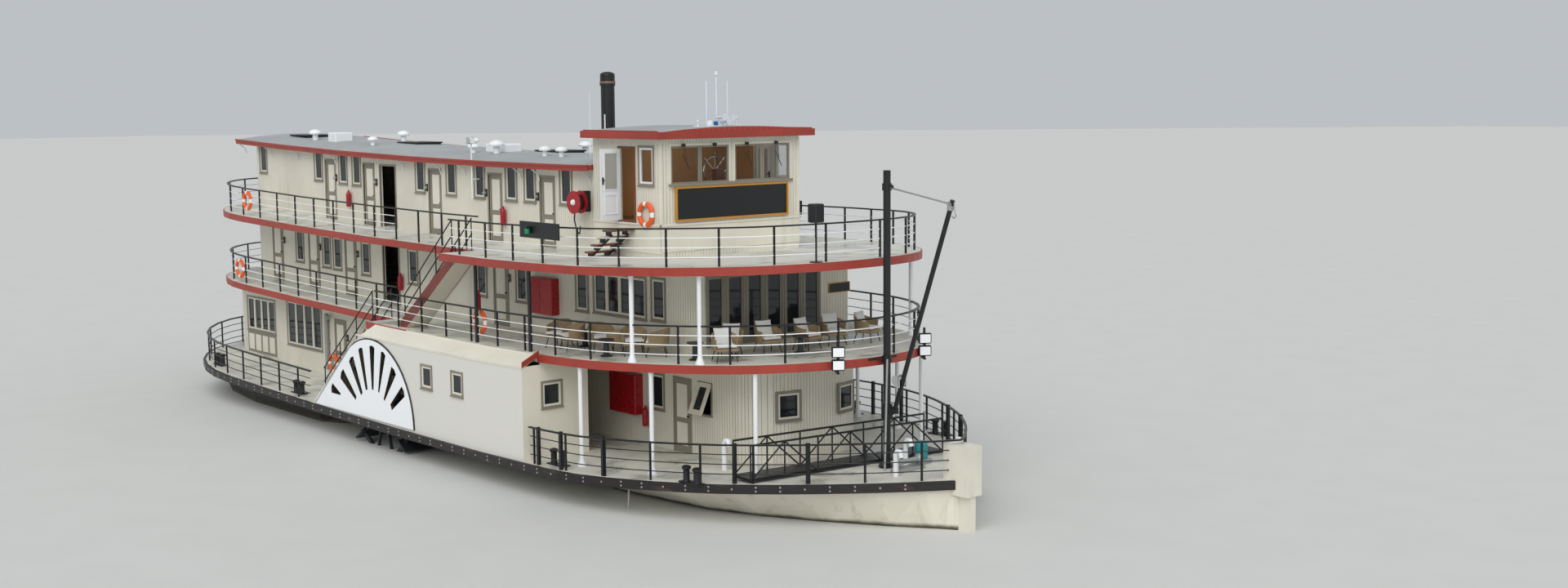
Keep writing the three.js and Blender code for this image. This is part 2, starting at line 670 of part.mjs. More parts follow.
// Doors that swing
for (const side of SIDES) {
  const name = sideName(side)
  CABIN_DOORS.forEach((x, index) => place(`cabin_door_${name}_${index + 1}`, hungDoor({
    side,
    x,
    width: DOOR.width,
    faceY: side * (CABIN.half - WALL),
    bottom: DECKS.third.top,
    height: DOOR.height,
    inward: true,
  }), PAINT.cream))
}

// Pilothouse doors swing outwards; the starboard one stands open.
for (const side of SIDES) {
  place(`pilothouse_door_${sideName(side)}`, hungDoor({
    side,
    x: PILOT_DOOR.x,
    width: PILOT_DOOR.width,
    faceY: side * PILOT.half,
    bottom: PILOT.floor + 10 - rise(PILOT_DOOR.x + PILOT_DOOR.width / 2),
    height: PILOT_DOOR.height,
    inward: false,
    turned: side < 0 ? -90 : 0,
  }), PAINT.white)
}

// Funnel, on the cabin roof
const FUNNEL = { x: 3290, radius: 210, top: 11400 }
const roofCrown = CABIN.top + CABIN_ROOF.edge + CABIN_ROOF.camber
function funnel() {
  const bottom = roofCrown + rise(FUNNEL.x + FUNNEL.radius + 60) + SEAT
  const stack = bar([FUNNEL.x, 0, bottom], [FUNNEL.x, 0, FUNNEL.top - 200], FUNNEL.radius, 16)
  const collar = bar([FUNNEL.x, 0, bottom], [FUNNEL.x, 0, bottom + 120], FUNNEL.radius + 60, 16)
  const ringBand = bar([FUNNEL.x, 0, 11050], [FUNNEL.x, 0, 11130], FUNNEL.radius + 25, 16)
  const cap = bar([FUNNEL.x, 0, FUNNEL.top - 210], [FUNNEL.x, 0, FUNNEL.top], FUNNEL.radius + 15, 16)
  return joined([stack, collar, ringBand, cap])
}
place('funnel', funnel(), PAINT.black)

// Paddle wheels, shaft, engine and boiler
function paddleWheel(side) {
  const { radius, inner, outer, floats, floatDepth, rim } = WHEEL
  const rims = [inner + 150, outer - 150 - rim].map((y) => {
    const shape = (r) => range(floats).map((i) => {
      const angle = (Math.PI * 2 * i) / floats
      return [SHAFT.x + r * Math.cos(angle), SHAFT.z + r * Math.sin(angle)]
    })
    const band = prism('xz', shape(radius - 260), side * y, side * (y + rim))
    return band.subtract(prism('xz', shape(radius - 400), side * (y - 10), side * (y + rim + 10)))
  })
  const hub = bar([SHAFT.x, side * inner, SHAFT.z], [SHAFT.x, side * outer, SHAFT.z], 260, 12)
  const blades = range(floats).flatMap((i) => {
    const angle = (360 * i) / floats
    const float = box(-30, 30, side * inner, side * outer, radius - floatDepth, radius)
    const arms = [inner + 150, outer - 150 - rim].map((y) => box(
      -30, 30, side * y, side * (y + rim), 100, radius - floatDepth + 40))
    return [float, ...arms].map((piece) => piece.rotate([0, angle + 90, 0]).translate([SHAFT.x, 0, SHAFT.z]))
  })
  const bore = bar(
    [SHAFT.x, side * (inner - 10), SHAFT.z], [SHAFT.x, side * (outer + 10), SHAFT.z], SHAFT.radius + SEAT)
  return joined([hub, ...rims, ...blades]).subtract(bore)
}
for (const side of SIDES) place(`paddle_wheel_${sideName(side)}`, paddleWheel(side), PAINT.steel)
const ENGINE = { aft: -2600, front: 300, half: 1500, top: 2500 }

// The shaft has a thrust collar on each side of the engine.
function paddleShaft() {
  const rod = (y0, y1, radius) => bar([SHAFT.x, y0, SHAFT.z], [SHAFT.x, y1, SHAFT.z], radius)
  const collars = SIDES.map((side) => rod(
    side * (ENGINE.half + SEAT), side * (ENGINE.half + 70), SHAFT.radius + 80))
  return joined([rod(-WHEEL.outer, WHEEL.outer, SHAFT.radius), ...collars])
}
place('paddle_shaft', paddleShaft(), PAINT.steel)

const onMainDeck = DECKS.main.top + SEAT
function engine() {
  const block = sheered(box(ENGINE.aft, ENGINE.front, -ENGINE.half, ENGINE.half, onMainDeck, ENGINE.top))
  const bore = bar([SHAFT.x, -1600, SHAFT.z], [SHAFT.x, 1600, SHAFT.z], runningBore(SHAFT.radius))
  return block.subtract(bore)
}
place('engine', engine(), PAINT.steel)
place('boiler', sheered(box(2900, 6100, -1100, 1100, onMainDeck, 3000)), PAINT.steel)

// Paddle boxes: a sloping aft end, a front wall, an inner and an outer wall, open below
function paddleBox(side) {
  const { inner, outer, wall, front, footX, topX, top, eave } = BOX
  const bottom = DECKS.main.top + SEAT
  const roofLine = DECKS.second.top - DECKS.second.plate - SEAT
  const slope = (topX - footX) / (top - bottom)
  const profile = (inset, height) => [
    [footX + inset * 1.25, bottom],
    [footX + inset * 1.25 + slope * (height - bottom), height],
    [front - inset, height],
    [front - inset, bottom],
  ]
  const tall = prism('xz', profile(0, roofLine), side * inner, side * (DECKS.second.bow.half - 100))
  const low = prism('xz', profile(0, eave), side * inner, side * outer)
  const hollow = prism('xz', profile(wall, 4000).map(([x, z]) => [x, z === bottom ? z - 50 : z]),
    side * (inner + wall), side * (outer - wall))
  const shell = without(joined([tall, low]), [hollow])
  const edge = DECKS.second.bow.half + SEAT
  const strip = [[side * edge, top - 60], [side * edge, top], [side * outer, eave], [side * outer, eave - 60]]
  const topStrip = prism('yz', strip, topX - 300, front)
  return joined([shell, topStrip])
}

// Slots spread like a fan, each wider outside and peaked there
function fanSlots(side, depth) {
  const ray = (radius, degrees, across = 0) => {
    const angle = THREE.MathUtils.degToRad(degrees)
    return [
      FAN.x + radius * Math.cos(angle) - across * Math.sin(angle),
      FAN.z + radius * Math.sin(angle) + across * Math.cos(angle),
    ]
  }
  const peak = 50
  return FAN_SLOTS.map(([outer, outerAngle, outerWidth, inner, innerAngle, innerWidth]) => prism('xz', [
    ray(inner, innerAngle, -innerWidth / 2),
    ray(outer, outerAngle, -outerWidth / 2),
    ray(outer + peak, outerAngle),
    ray(outer, outerAngle, outerWidth / 2),
    ray(inner, innerAngle, innerWidth / 2),
  ], side * (BOX.outer - depth), side * (BOX.outer + 100)))
}

function fanBoard(side) {
  const steps = 16
  const bottom = DECKS.main.top + rise(BOX.footX) + 20
  const arc = range(steps + 1).map((i) => {
    const angle = THREE.MathUtils.degToRad((FAN.turned * i) / steps)
    return [FAN.x + FAN.radius * Math.cos(angle), Math.max(bottom, FAN.z + FAN.radius * Math.sin(angle))]
  })
  return prism('xz', [...arc, [FAN.aft, bottom]], side * (BOX.outer - 10), side * (BOX.outer + FAN.thick))
}

const BOX_WINDOWS = [
  // x, width, bottom, top
  [2230, 560, 2330, 2960],
  [3930, 560, 2330, 2960],
]
for (const side of SIDES) {
  const windows = BOX_WINDOWS.map(([x, width, bottom, top]) => box(
    x - width / 2, x + width / 2, side * (BOX.outer - 100), side * (BOX.outer + 100), bottom, top))
  const frontWindow = box(BOX.front - 100, BOX.front + 100, side * 4650, side * 5250, 2300, 2960)
  const shaftHole = bar([SHAFT.x, side * 3600, SHAFT.z], [SHAFT.x, side * 3900, SHAFT.z], SHAFT.radius + 40)
  const cutters = [...windows, ...fanSlots(side, 100), frontWindow, shaftHole]
  const body = sheered(paddleBox(side)).add(fanBoard(side))
  place(`paddle_box_${sideName(side)}`, without(body, cutters), PAINT.cream)
}

// Stairs: a row of steps closed below, between two stringers
function stair(side, { aft, front, inner, outer }, bottom, top, steps) {
  const run = (front - aft) / steps
  const going = (top - bottom) / steps
  const profile = [[aft, bottom]]
  for (const step of range(steps)) {
    profile.push([aft + run * step, bottom + going * (step + 0.999)])
    profile.push([aft + run * (step + 1), bottom + going * (step + 0.999)])
  }
  profile.push([front, top - 260], [aft + run, bottom])
  const heel = aft - 120
  const stringer = [
    [heel, bottom], [heel, bottom + 160], [front, top + 60], [front, top - 300], [aft + 260, bottom],
  ]
  const treads = prism('xz', profile, side * (inner + 40), side * (outer - 40))
  const boards = [[inner, inner + 50], [outer - 50, outer]].map(([y0, y1]) => prism(
    'xz', stringer, side * y0, side * y1))
  return sheered(joined([treads, ...boards]))
}
for (const side of SIDES) {
  const name = sideName(side)
  place(`upper_stair_${name}`, stair(
    side, STAIR_UP, DECKS.second.top + SEAT, DECKS.third.top - 70, 11), PAINT.red)
  place(`lower_stair_${name}`, stair(
    side, STAIR_LOW, DECKS.main.top + SEAT, DECKS.second.top - 70, 12), PAINT.timber)
}

// Foredeck derrick: mast, slewing gooseneck and luffing boom
const mastFoot = DECKS.main.top + rise(MAST.x + 220) + SEAT
place('derrick_mast', joined([
  bar([MAST.x, 0, mastFoot], [MAST.x, 0, MAST.top], MAST.radius, 12),
  bar([MAST.x, 0, mastFoot], [MAST.x, 0, mastFoot + 60], 220, 12),
  bar([MAST.x, 0, BOOM.footZ - 220], [MAST.x, 0, BOOM.footZ - 140], 150, 12),
]), PAINT.black)

function gooseneck() {
  const sleeve = bar([MAST.x, 0, BOOM.footZ - 140 + SEAT], [MAST.x, 0, BOOM.footZ + 140], 150, 12)
  const cheeks = SIDES.map((side) => box(
    MAST.x + 100, BOOM.footX + 60, side * 72, side * 92, BOOM.footZ - 80, BOOM.footZ + 80))
  const web = box(MAST.x + 100, BOOM.footX - 90, -90, 90, BOOM.footZ - 80, BOOM.footZ + 80)
  const bore = bar([MAST.x, 0, 0], [MAST.x, 0, 9000], runningBore(MAST.radius), 12)
  return joined([sleeve, web, ...cheeks]).subtract(bore)
}
place('derrick_gooseneck', gooseneck(), PAINT.black)

function boom() {
  const pole = bar([BOOM.footX, 0, BOOM.footZ], [BOOM.headX, 0, BOOM.headZ], BOOM.radius, 10)
  const eye = bar([BOOM.footX, -71.5, BOOM.footZ], [BOOM.footX, 71.5, BOOM.footZ], 75, 12)
  return pole.add(eye)
}
place('derrick_boom', boom(), PAINT.black)

// Rudder, hung under the counter on its stock
function rudder() {
  const { x, bottom, top, aft, fore, thick, stock, stockTop } = RUDDER
  const blade = box(x - aft, x + fore, -thick / 2, thick / 2, bottom, top)
  return blade.add(bar([x, 0, bottom], [x, 0, stockTop], stock, 12))
}
place('rudder', rudder(), PAINT.hull)

export default steamer
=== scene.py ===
# %% [markdown]
# # A three-deck paddle steamer
#
# The vessel arrives as a frame of solids: hull, decks, houses, paddle boxes, stairs, doors and the moving
# gear, each at its real place. This lesson dresses that frame. Each solid gets the paint it has on the real
# vessel, and what is too fine for the solids is modelled by hand: sashes and glass, door panels, lower
# rails, lamps, lifebuoys, vents, aerials and deck gear. Lengths are metres, +X is forward, +Y is to port,
# and the water's surface is at z = 0.

# %% Load the frame
import math

import bpy
from mathutils import Matrix, Vector


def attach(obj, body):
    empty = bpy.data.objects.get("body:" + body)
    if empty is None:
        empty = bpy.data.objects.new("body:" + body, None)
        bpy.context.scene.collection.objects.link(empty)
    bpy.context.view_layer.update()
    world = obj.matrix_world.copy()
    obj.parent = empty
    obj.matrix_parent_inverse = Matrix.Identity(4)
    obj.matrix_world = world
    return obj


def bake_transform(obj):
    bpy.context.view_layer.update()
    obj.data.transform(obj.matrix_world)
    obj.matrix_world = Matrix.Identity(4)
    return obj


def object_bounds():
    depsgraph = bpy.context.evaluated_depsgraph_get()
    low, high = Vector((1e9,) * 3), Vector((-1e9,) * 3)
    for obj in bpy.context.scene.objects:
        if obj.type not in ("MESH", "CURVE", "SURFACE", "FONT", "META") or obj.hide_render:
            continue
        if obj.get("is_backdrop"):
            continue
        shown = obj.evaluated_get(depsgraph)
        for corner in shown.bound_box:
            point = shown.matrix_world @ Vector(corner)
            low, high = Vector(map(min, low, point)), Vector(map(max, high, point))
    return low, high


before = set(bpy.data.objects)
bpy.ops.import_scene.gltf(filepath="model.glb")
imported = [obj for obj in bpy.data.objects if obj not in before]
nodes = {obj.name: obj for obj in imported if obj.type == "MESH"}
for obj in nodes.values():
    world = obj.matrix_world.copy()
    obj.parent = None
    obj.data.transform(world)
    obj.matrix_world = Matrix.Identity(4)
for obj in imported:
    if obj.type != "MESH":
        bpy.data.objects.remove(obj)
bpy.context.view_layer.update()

# %% [markdown]
# ## Where the camera stands
#
# The photograph was taken from the river bank, ahead of the starboard beam and about as high as the upper
# deck. The camera is set by its place and three turns, in the order in which a tripod gives them: round the
# vertical, down towards the vessel, and a slight roll.

# %% Camera
HEADING, PITCH, ROLL = 48.51, 6.62, -0.414
bpy.ops.object.camera_add(location=(46.40, -31.03, 10.78))
camera = bpy.context.object
camera.name = "bank_camera"
turn = (
    Matrix.Rotation(math.radians(HEADING), 4, "Z")
    @ Matrix.Rotation(math.radians(90 - PITCH), 4, "X")
    @ Matrix.Rotation(math.radians(ROLL), 4, "Z")
)
camera.rotation_euler = turn.to_euler()
camera.data.sensor_width = 36
camera.data.lens = 39.64
camera.data.clip_end = 500
bpy.context.scene.camera = camera

# %% [markdown]
# ## The sheer
#
# A ship's decks aren't level: they rise towards both ends. Everything that stands on a deck has to rise
# with it, so one function gives the rise at any place along the hull. It is straight between the same
# stations as the plating.

# %% Sheer and deck heights
STATIONS = [-18.6, -13.5, -9.0, -4.0, 0.5, 5.0, 9.5, 13.5, 18.6]
MAIN, SECOND, THIRD = 0.87, 3.77, 6.27
SIDES = {"starboard": -1, "port": 1}


def rise(x):
    """How far every deck has risen at x."""

    def curve(station):
        along = station - 2.93
        return (0.0010 if along < 0 else 0.0018) * along * along

    after = next((i for i, station in enumerate(STATIONS) if station > x), len(STATIONS) - 1)
    after = max(after, 1)
    a, b = STATIONS[after - 1], STATIONS[after]
    return curve(a) + (curve(b) - curve(a)) * (x - a) / (b - a)


print("rise at the stem:", round(rise(18.0), 3), "at the stern:", round(rise(-18.0), 3))

# %% [markdown]
# ## Tools for modelling by hand
#
# Every piece starts as a primitive, is shaped in edit mode and ends with its place moved into its mesh.
# Operators act on whatever is selected, so each tool selects its own piece first. Larger pieces are
# listed as rows of a finish, a tool and its arguments, and `parts` makes them.

# %% Selecting and settling a piece
def only(piece):
    """Selects one piece and makes it the active one."""
    bpy.ops.object.select_all(action="DESELECT")
    piece.select_set(True)
    bpy.context.view_layer.objects.active = piece


def settled(name):
    """Names the new piece and moves its place, turn and scale into its mesh."""
    piece = bpy.context.object
    piece.name = piece.data.name = name
    only(piece)
    bpy.ops.object.transform_apply(location=True, rotation=True, scale=True)
    return piece


def editing(piece):
    """Opens a piece in edit mode with all of it selected."""
    only(piece)
    bpy.ops.object.mode_set(mode="EDIT")
    bpy.ops.mesh.select_all(action="SELECT")


def done(outward=False):
    """Leaves edit mode, with all faces pointing outwards if asked."""
    if outward:
        bpy.ops.mesh.select_all(action="SELECT")
        bpy.ops.mesh.normals_make_consistent(inside=False)
    bpy.ops.object.mode_set(mode="OBJECT")


def painted(piece, finish):
    """Gives a piece one finish."""
    piece.data.materials.clear()
    piece.data.materials.append(finish)
    return piece


# %% Blocks, rods, frames and turned pieces
def block(name, low, high, edge=0.0):
    """A squared piece between two corners, with its edges eased."""
    low, high = Vector(low), Vector(high)
    bpy.ops.mesh.primitive_cube_add(size=1, location=(low + high) / 2, scale=high - low)
    piece = settled(name)
    if edge:
        editing(piece)
        bpy.ops.mesh.bevel(offset=edge, segments=1, affect="EDGES")
        done()
    return piece


def rod(name, start, end, radius, sides=8, tip=None):
    """A round bar between two points, which can narrow to another radius at its tip."""
    start, end = Vector(start), Vector(end)
    axis = end - start
    bpy.ops.mesh.primitive_cone_add(
        vertices=sides,
        radius1=radius,
        radius2=radius if tip is None else tip,
        depth=axis.length,
        location=(start + end) / 2,
        rotation=axis.to_track_quat("Z", "Y").to_euler(),
    )
    piece = settled(name)
    bpy.ops.object.shade_smooth_by_angle(angle=math.radians(50))
    return piece


def ring_frame(name, width, height, bar, front, back, centre=(0.0, 0.0)):
    """A flat frame that faces -Y: a plane inset by its bar, opened and drawn back."""
    middle = (centre[0], front, centre[1])
    bpy.ops.mesh.primitive_plane_add(size=1, location=middle, rotation=(math.pi / 2, 0, 0))
    piece = settled(name)
    editing(piece)
    bpy.ops.transform.resize(value=(width, 1, height), center_override=middle)
    bpy.ops.mesh.inset(thickness=bar)
    bpy.ops.mesh.delete(type="FACE")
    bpy.ops.mesh.select_all(action="SELECT")
    bpy.ops.mesh.extrude_region_move(TRANSFORM_OT_translate={"value": (0, back - front, 0)})
    done(outward=True)
    return piece


def turned(name, profile, sides=16, at=(0, 0, 0), lie=None):
    """A turned piece: a disc drawn up ring by ring through (radius, height) pairs."""
    radius, height = profile[0]
    bpy.ops.mesh.primitive_circle_add(
        vertices=sides, radius=radius, fill_type="NGON", location=(0, 0, height)
    )
    piece = settled(name)
    editing(piece)
    for wider, higher in profile[1:]:
        bpy.ops.mesh.extrude_region_move(TRANSFORM_OT_translate={"value": (0, 0, higher - height)})
        share = wider / radius
        bpy.ops.transform.resize(value=(share, share, 1), center_override=(0, 0, higher))
        radius, height = wider, higher
    done(outward=True)
    if lie is not None:
        piece.data.transform(Vector(lie).to_track_quat("Z", "Y").to_matrix().to_4x4())
    piece.data.transform(Matrix.Translation(at))
    only(piece)
    bpy.ops.object.shade_smooth_by_angle(angle=math.radians(40))
    return piece


# %% Bent bars, copies and joined pieces
def bent(name, points, radius, sides=3, closed=False):
    """A round bar bent along a line of points; sides is the curve's bevel resolution."""
    curve = bpy.data.curves.new(name, "CURVE")
    curve.dimensions = "3D"
    curve.bevel_depth = radius
    curve.bevel_resolution = sides
    curve.use_fill_caps = True
    spline = curve.splines.new("POLY")
    spline.points.add(len(points) - 1)
    for knot, point in zip(spline.points, points):
        knot.co = (*point, 1)
    spline.use_cyclic_u = closed
    piece = bpy.data.objects.new(name, curve)
    bpy.context.scene.collection.objects.link(piece)
    only(piece)
    bpy.ops.object.convert(target="MESH")
    piece = bpy.context.object
    bpy.ops.object.shade_smooth_by_angle(angle=math.radians(60))
    return piece


def moved_copy(piece, matrix):
    """A copy with a mesh of its own, moved by a matrix; a mirrored one is turned right side out."""
    twin = piece.copy()
    twin.data = piece.data.copy()
    twin.data.transform(matrix)
    if matrix.determinant() < 0:
        twin.data.flip_normals()
    bpy.context.scene.collection.objects.link(twin)
    return twin


def at(x, y, z, turn=0.0):
    """The matrix that turns a piece about Z, in degrees, and moves it to a place."""
    return Matrix.Translation((x, y, z)) @ Matrix.Rotation(math.radians(turn), 4, "Z")


ACROSS = Matrix.Scale(-1, 4, (0, 1, 0))


def removed(*pieces):
    """Deletes pieces that were only patterns for others."""
    for piece in pieces:
        bpy.data.objects.remove(piece)


def joined(name, pieces):
    """One piece made of several."""
    bpy.ops.object.select_all(action="DESELECT")
    for piece in pieces:
        piece.select_set(True)
    bpy.context.view_layer.objects.active = pieces[0]
    if len(pieces) > 1:
        bpy.ops.object.join()
    pieces[0].name = pieces[0].data.name = name
    return pieces[0]


def parts(rows):
    """Pieces from rows of a finish, a tool and the tool's arguments."""
    return [painted(tool(*rest), finish) for finish, tool, *rest in rows]


def fitted(name, pieces, body="ship"):
    """Joins pieces into one that rides on its body."""
    piece = joined(name, pieces)
    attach(piece, body)
    print("piece:", name, len(piece.data.polygons), "faces")
    return piece


def fitted_both(name, pieces):
    """A starboard piece from its parts, and the same piece mirrored to port."""
    starboard = joined(f"{name}_starboard", pieces)
    port = moved_copy(starboard, ACROSS)
    fitted(f"{name}_starboard", [starboard])
    fitted(f"{name}_port", [port])

# %% [markdown]
# ## Paint and other finishes
#
# Fresh paint is never one flat colour. It fades in broad patches, rain draws faint streaks down it, and its
# gloss varies with every brush stroke. Each finish below starts from a plain paint that has these three and
# adds what is its own, such as board grooves or roof ribs. All patterns use Object coordinates, so they
# stay where they are on the vessel and have their real size in metres. The tools read the finish that they
# work on from the shader, or from any value of it, that they are given.

# %% Tools for building finishes
def tint(code):
    """A colour from its hex code, as the linear values that shaders use."""
    values = [int(code[i : i + 2], 16) / 255 for i in (0, 2, 4)]
    return (*[((v + 0.055) / 1.055) ** 2.4 if v > 0.04045 else v / 12.92 for v in values], 1)


def added(owner, kind, inputs=None, **settings):
    """Adds one node to the owner's finish, sets it up and wires or fills its inputs."""
    tree = owner.id_data
    made = tree.nodes.new(f"ShaderNode{kind}")
    for key, value in settings.items():
        setattr(made, key, value)
    for socket, value in (inputs or {}).items():
        if isinstance(value, bpy.types.NodeSocket):
            tree.links.new(value, made.inputs[socket])
        else:
            made.inputs[socket].default_value = value
    return made


def wired(shader, socket, value):
    """Gives a value of the finish to its shader."""
    shader.id_data.links.new(value, shader.inputs[socket])


def maths(operation, first, second=0.0, third=0.0):
    """The result of one sum on numbers, the first of them a value of the finish."""
    return added(first, "Math", {0: first, 1: second, 2: third}, operation=operation).outputs[0]


def over(first, second):
    """1 where the first number is the larger one, and 0 elsewhere."""
    return maths("GREATER_THAN", first, second)


def under(first, second):
    """1 where the first number is the smaller one, and 0 elsewhere."""
    return maths("LESS_THAN", first, second)


def unsigned(value):
    """A number without its sign."""
    return maths("ABSOLUTE", value)


def times(first, *others):
    """The product of several numbers; that of several tests is 1 where all of them hold."""
    for other in others:
        first = maths("MULTIPLY", first, other)
    return first


def between(value, low, high):
    """0 below low and 1 above high, with a smooth step between them."""
    inputs = {"Value": value, "From Min": low, "From Max": high}
    return added(value, "MapRange", inputs, interpolation_type="SMOOTHSTEP").outputs["Result"]


def mixed(share, first, second):
    """Two colours mixed by a share from 0 to 1."""
    return added(share, "Mix", {0: share, 6: first, 7: second}, data_type="RGBA").outputs[2]


def place_axes(owner):
    """The place on the vessel along X, Y and Z."""
    where = added(owner, "TexCoord").outputs["Object"]
    return added(owner, "SeparateXYZ", {0: where}).outputs


def facing_axes(owner):
    """The way a face looks, along X, Y and Z."""
    normal = added(owner, "NewGeometry").outputs["Normal"]
    return added(owner, "SeparateXYZ", {0: normal}).outputs


def noise(owner, scale, detail=3.0, stretch=(1, 1, 1)):
    """Noise whose patches are about 1 / scale metres across, drawn out by stretch."""
    where = added(owner, "TexCoord").outputs["Object"]
    mapped = added(owner, "Mapping", {"Vector": where, "Scale": stretch}).outputs[0]
    return added(owner, "TexNoise", {"Vector": mapped, "Scale": scale, "Detail": detail}).outputs["Fac"]


# %% Plain paint
def paint(name, colour, roughness=0.45, patches=0.10, streaks=0.08, texture=0.15, metallic=0.0):
    """Paint with faded patches, rain streaks and uneven gloss; returns its parts for what comes on top."""
    finish = bpy.data.materials.new(name)
    finish.use_nodes = True
    shader = finish.node_tree.nodes["Principled BSDF"]
    shader.inputs["Metallic"].default_value = metallic
    base = tint(colour)
    faded = (*[value * (1 - patches) for value in base[:3]], 1)
    streaked = (*[value * (1 - 3 * streaks) for value in base[:3]], 1)
    broad = between(noise(shader, 0.6), 0.35, 0.65)
    rain = times(between(noise(shader, 3.0, 4, (1, 1, 0.12)), 0.55, 0.75), 0.5)
    shown = mixed(rain, mixed(broad, base, faded), streaked)
    gloss = maths("MULTIPLY_ADD", noise(shader, 8.0), 0.25, roughness - 0.12)
    skin = {"Strength": texture, "Distance": 0.004, "Height": noise(shader, 60.0, 2)}
    bump = added(shader, "Bump", skin).outputs[0]
    wired(shader, "Base Color", shown)
    wired(shader, "Roughness", gloss)
    wired(shader, "Normal", bump)
    print("finish:", name)
    return finish, shader, shown, bump


def grooved(shader, colour, bump, along, spacing, groove, depth, dirt):
    """Cuts grooves across a direction into a finish: a V in the bump and a darker line in it."""
    step = maths("FRACT", maths("DIVIDE", along, spacing))
    in_groove = between(unsigned(maths("SUBTRACT", step, 0.5)), 0.5 - groove, 0.5)
    cut = added(shader, "Bump", {"Distance": depth, "Height": in_groove, "Normal": bump}, invert=True)
    wired(shader, "Normal", cut.outputs[0])
    lined = mixed(times(in_groove, dirt), colour, tint("5A564C"))
    wired(shader, "Base Color", lined)
    return lined


# %% Plain finishes
CREAM, TAUPE, RED, BLACK, WHITE = "E4DFCF", "8B8577", "A23A2C", "141518", "EDEFF0"
cream = paint("cream_gloss_paint", CREAM, 0.4)[0]
taupe = paint("taupe_trim_paint", TAUPE, 0.5, texture=0.1)[0]
brick_red = paint("brick_red_paint", RED, 0.42, 0.15, 0.12)[0]
black = paint("black_satin_paint", BLACK, 0.38, 0.2, 0.0)[0]
white = paint("white_gloss_paint", WHITE, 0.35, 0.04, 0.02)[0]
fire_red = paint("fire_red_enamel", "A3121C", 0.3, 0.05, 0.04)[0]
orange = paint("lifebuoy_orange", "EC611C", 0.5, 0.06, 0.02, 0.4)[0]
timber_brown = paint("varnished_timber", "7A4327", 0.35, 0.25, 0.1)[0]
sign_gold = paint("ochre_sign_frame", "C58A2C", 0.4, 0.15, 0.05)[0]
bright = paint("bright_chrome", "D9DBDD", 0.22, 0.03, 0.0, 0.05, 1.0)[0]
cast_grey = paint("dark_machinery_paint", "34373A", 0.5, 0.2, 0.1, 0.4, 0.3)[0]

# %% [markdown]
# ## Grooved boards, deck paint and roof sheet
#
# The houses are lined with narrow vertical boards whose edges meet in a V. At this size the grooves are
# too many to model, so they are a repeating pattern in the bump, with a little dirt in each. The roof's
# ribs are made the same way, along the other axis. Decks are plain paint that holds puddles: wet patches
# are darker and smoother.

# %% Boards, decks and roofs
board_paint, shader, colour, bump = paint("cream_grooved_boards", CREAM, 0.45, 0.08, 0.08)
x, y, _ = place_axes(shader)
on_side_wall = over(unsigned(facing_axes(shader)[1]), 0.5)
along_wall = added(shader, "Mix", {0: on_side_wall, 2: y, 3: x}, data_type="FLOAT").outputs[0]
grooved(shader, colour, bump, along_wall, 0.105, 0.07, 0.012, 0.5)

deck_paint, shader, colour, _ = paint("pale_deck_paint", "D8D6CB", 0.55, 0.1, 0.0, 0.5)
wet = between(noise(shader, 0.9, 5), 0.48, 0.6)
wired(shader, "Base Color", mixed(wet, colour, tint("B9B8AF")))
wired(shader, "Roughness", maths("MULTIPLY_ADD", wet, -0.32, 0.58))


def roof_sheet(name, axis):
    """Grey sheet with ribs spaced along an axis, and the red edge boards of the same solid."""
    finish, shader, colour, bump = paint(name, "A9ACAD", 0.45, 0.12, 0.05, 0.1)
    ribbed = grooved(shader, colour, bump, place_axes(shader)[axis], 0.19, 0.16, 0.02, 0.12)
    on_edge = under(unsigned(facing_axes(shader)[2]), 0.6)
    wired(shader, "Base Color", mixed(on_edge, ribbed, tint(RED)))
    return finish


cabin_sheet = roof_sheet("ribbed_roof_sheet", 0)
pilothouse_sheet = roof_sheet("pilothouse_roof_sheet", 1)

# %% [markdown]
# ## The hull, the rubbing strake, the paddle boxes and the stairs
#
# These carry more than one colour. The hull is cream forward and black further aft, with a stained band at
# the waterline; the black aft is partly the hull's own paint, seen at the stern, and partly painted shade
# where the guard overhangs the hull. The strake is nearly black, with bare brown wood where ropes and
# landings have rubbed its edges. On each paddle box the fan board is white inside a thin black arc, and the
# rest of the outer wall is a light grey; the fan's slots are painted dark brown inside, as painted shade of
# the box's dim inside. The second deck's red edge is cream where it meets the top of a paddle box. Each of
# these colours is chosen by the place on the vessel. A flight of stairs is one solid with its stringers,
# cream below and grey on its steps, so its colour is chosen by the way each face looks.

# %% Hull and strake
hull_paint, shader, colour, _ = paint("hull_paint", CREAM, 0.45, 0.1, 0.15)
x, _, z = place_axes(shader)
# Black aft of x = 8.5: partly the hull's own black paint, seen at the stern, and partly painted shade under
# the overhanging guard.
dark = mixed(between(x, 8.6, 8.4), colour, tint("1B1A1A"))
stain = between(maths("ADD", z, times(noise(shader, 2.0), 0.12)), 0.22, 0.08)
wired(shader, "Base Color", mixed(stain, dark, tint("4A4331")))

strake_paint, shader, colour, _ = paint("strake_timber", "231C1C", 0.45, 0.3, 0.0, 0.4)
rubbed = between(noise(shader, 2.5, 6, (0.4, 1, 3)), 0.58, 0.72)
wired(shader, "Base Color", mixed(rubbed, colour, tint("4B372E")))

# %% Paddle boxes
BOX_SIDE, BOX_FRONT = 5.9, 7.3
FAN_CENTRE, FAN_RADIUS, FAN_TURNED, FAN_FOOT = (-1.05, 0.93), 2.52, math.radians(130), (-4.9, 1.0)
shoulder = [
    FAN_CENTRE[0] + FAN_RADIUS * math.cos(FAN_TURNED),
    FAN_CENTRE[1] + FAN_RADIUS * math.sin(FAN_TURNED),
]
lean = Vector((shoulder[1] - FAN_FOOT[1], FAN_FOOT[0] - shoulder[0])).normalized()
box_paint, shader, colour, _ = paint("paddle_box_paint", CREAM, 0.42, 0.05, 0.05)
x, y, z = place_axes(shader)
outboard = unsigned(y)
on_side = over(unsigned(facing_axes(shader)[1]), 0.9)
on_board = over(outboard, BOX_SIDE + 0.002)
squares = [maths("POWER", maths("SUBTRACT", axis, middle), 2) for axis, middle in zip((x, z), FAN_CENTRE)]
reach = maths("SQRT", maths("ADD", *squares))
